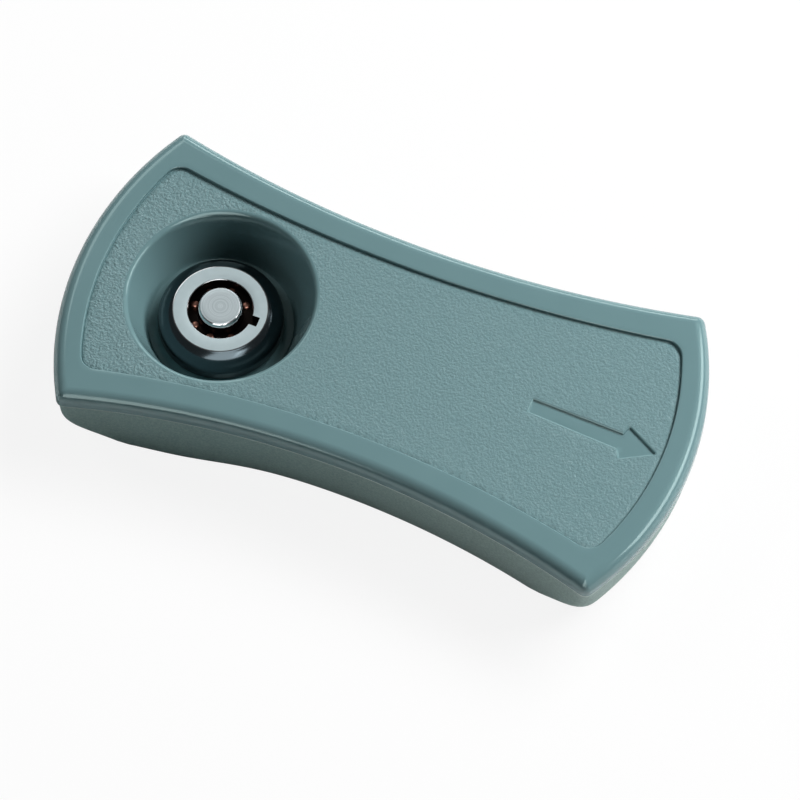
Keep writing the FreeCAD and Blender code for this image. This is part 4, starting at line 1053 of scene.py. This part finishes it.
# %% World
def studio_world():
    """White to the camera and through glass, faint in gloss, and dim as light."""
    f = Finish("studio", "worlds")
    seen, clear, mirrored = [f.add("ShaderNodeLightPath", {}, {}, kind)
                             for kind in ("Is Camera Ray", "Is Transmission Ray", "Is Glossy Ray")]
    share = f.reckon("MAXIMUM", f.reckon("MAXIMUM", seen, clear), mirrored * 0.1)
    white = f.add("ShaderNodeBackground", {}, {"Color": (1, 1, 1, 1), "Strength": 1.0})
    dim = f.add("ShaderNodeBackground", {}, {"Color": (0.92, 0.97, 1, 1), "Strength": 0.04})
    both = f.add("ShaderNodeMixShader", {}, {0: share, 1: dim, 2: white})
    f.add("ShaderNodeOutputWorld", {}, {"Surface": both})
    return f.block


bpy.context.scene.world = studio_world()
print("world:", bpy.context.scene.world.name)

# %% Lamps
LAMP_DISTANCE = 0.9      # metres, the same for all


def lamp(name, azimuth, elevation, width, height, power, lights=True, mirrored=True, roll=0.0):
    """A soft panel that looks at the part. Azimuth 0 is in front, 90 right.

    Width and height are metres. A lamp that isn't mirrored shows in no gloss,
    and one that doesn't light shows only there. Roll turns it in its own plane.
    """
    data = bpy.data.lights.new(name, "AREA")
    data.shape, data.size, data.size_y = "RECTANGLE", width, height
    data.energy = power
    made = bpy.data.objects.new(name, data)
    made.visible_diffuse, made.visible_glossy = lights, mirrored
    a, e = math.radians(azimuth), math.radians(elevation)
    away = Vector((math.sin(a) * math.cos(e), -math.cos(a) * math.cos(e), math.sin(e)))
    made.location = away * LAMP_DISTANCE
    made.rotation_mode = "QUATERNION"
    made.rotation_quaternion = away.to_track_quat("Z", "Y") @ Quaternion((0, 0, 1), math.radians(roll))
    bpy.context.scene.collection.objects.link(made)


lamp("key_panel", 142, 42, 0.80, 0.32, 13.5, mirrored=False)
lamp("left_fill", -62, 10, 0.30, 0.30, 0.6, mirrored=False)
lamp("side_fill", -100, 38, 0.30, 0.30, 1.2, mirrored=False)
lamp("window_left", 15, 44, 0.50, 1.14, 5.0, lights=False, roll=-25)
lamp("window_right", 43, 34, 0.19, 1.14, 1.9, lights=False, roll=-25)
lamp("strip_far", 131, 27, 0.32, 0.30, 1.35, lights=False)
lamp("strip_near", 107, 27, 0.37, 0.30, 1.60, lights=False)
lamp("strip_back", 193, 21, 0.66, 0.18, 1.6, lights=False)
lamp("back_left", 226, 42, 0.40, 0.30, 0.7, lights=False)
print("lamps:", len(bpy.data.lights))

# %% [markdown]
# ## Camera
# The camera's place was fitted to the photograph: the same corners of the cover
# fall on the same pixels. It looks down at 63.5 degrees from in front and a
# little to the right, through a long lens. It could be aimed by a constraint,
# but a plain place and turn keep it still when the part is posed.

# %% Camera
LENS, SENSOR = 292.5, 36.0
# Degrees: round the upright axis, down from straight above, and its own roll.
AROUND, TILT, OWN_ROLL = 21.776, 26.499, 0.178
# Millimetres from the middle of the cover's top, along the camera's own axes.
CAMERA_PLACE = (2.803, -7.525, 978.575)

camera_data = bpy.data.cameras.new("camera")
camera_data.lens, camera_data.sensor_width = LENS, SENSOR
camera_data.clip_start, camera_data.clip_end = 0.05, 20.0
camera = bpy.data.objects.new("camera", camera_data)
turn = (Matrix.Rotation(math.radians(AROUND), 3, "Z") @ Matrix.Rotation(math.radians(TILT), 3, "X")
        @ Matrix.Rotation(math.radians(OWN_ROLL), 3, "Z"))
offset = turn @ Vector(CAMERA_PLACE) * MM
camera.matrix_world = Matrix.Translation(offset + Vector((0, 0, HEIGHT * MM))) @ turn.to_4x4()
bpy.context.scene.collection.objects.link(camera)
bpy.context.scene.camera = camera
bpy.context.scene.view_settings.view_transform = "Standard"
print("camera at", [round(v, 3) for v in camera.location])
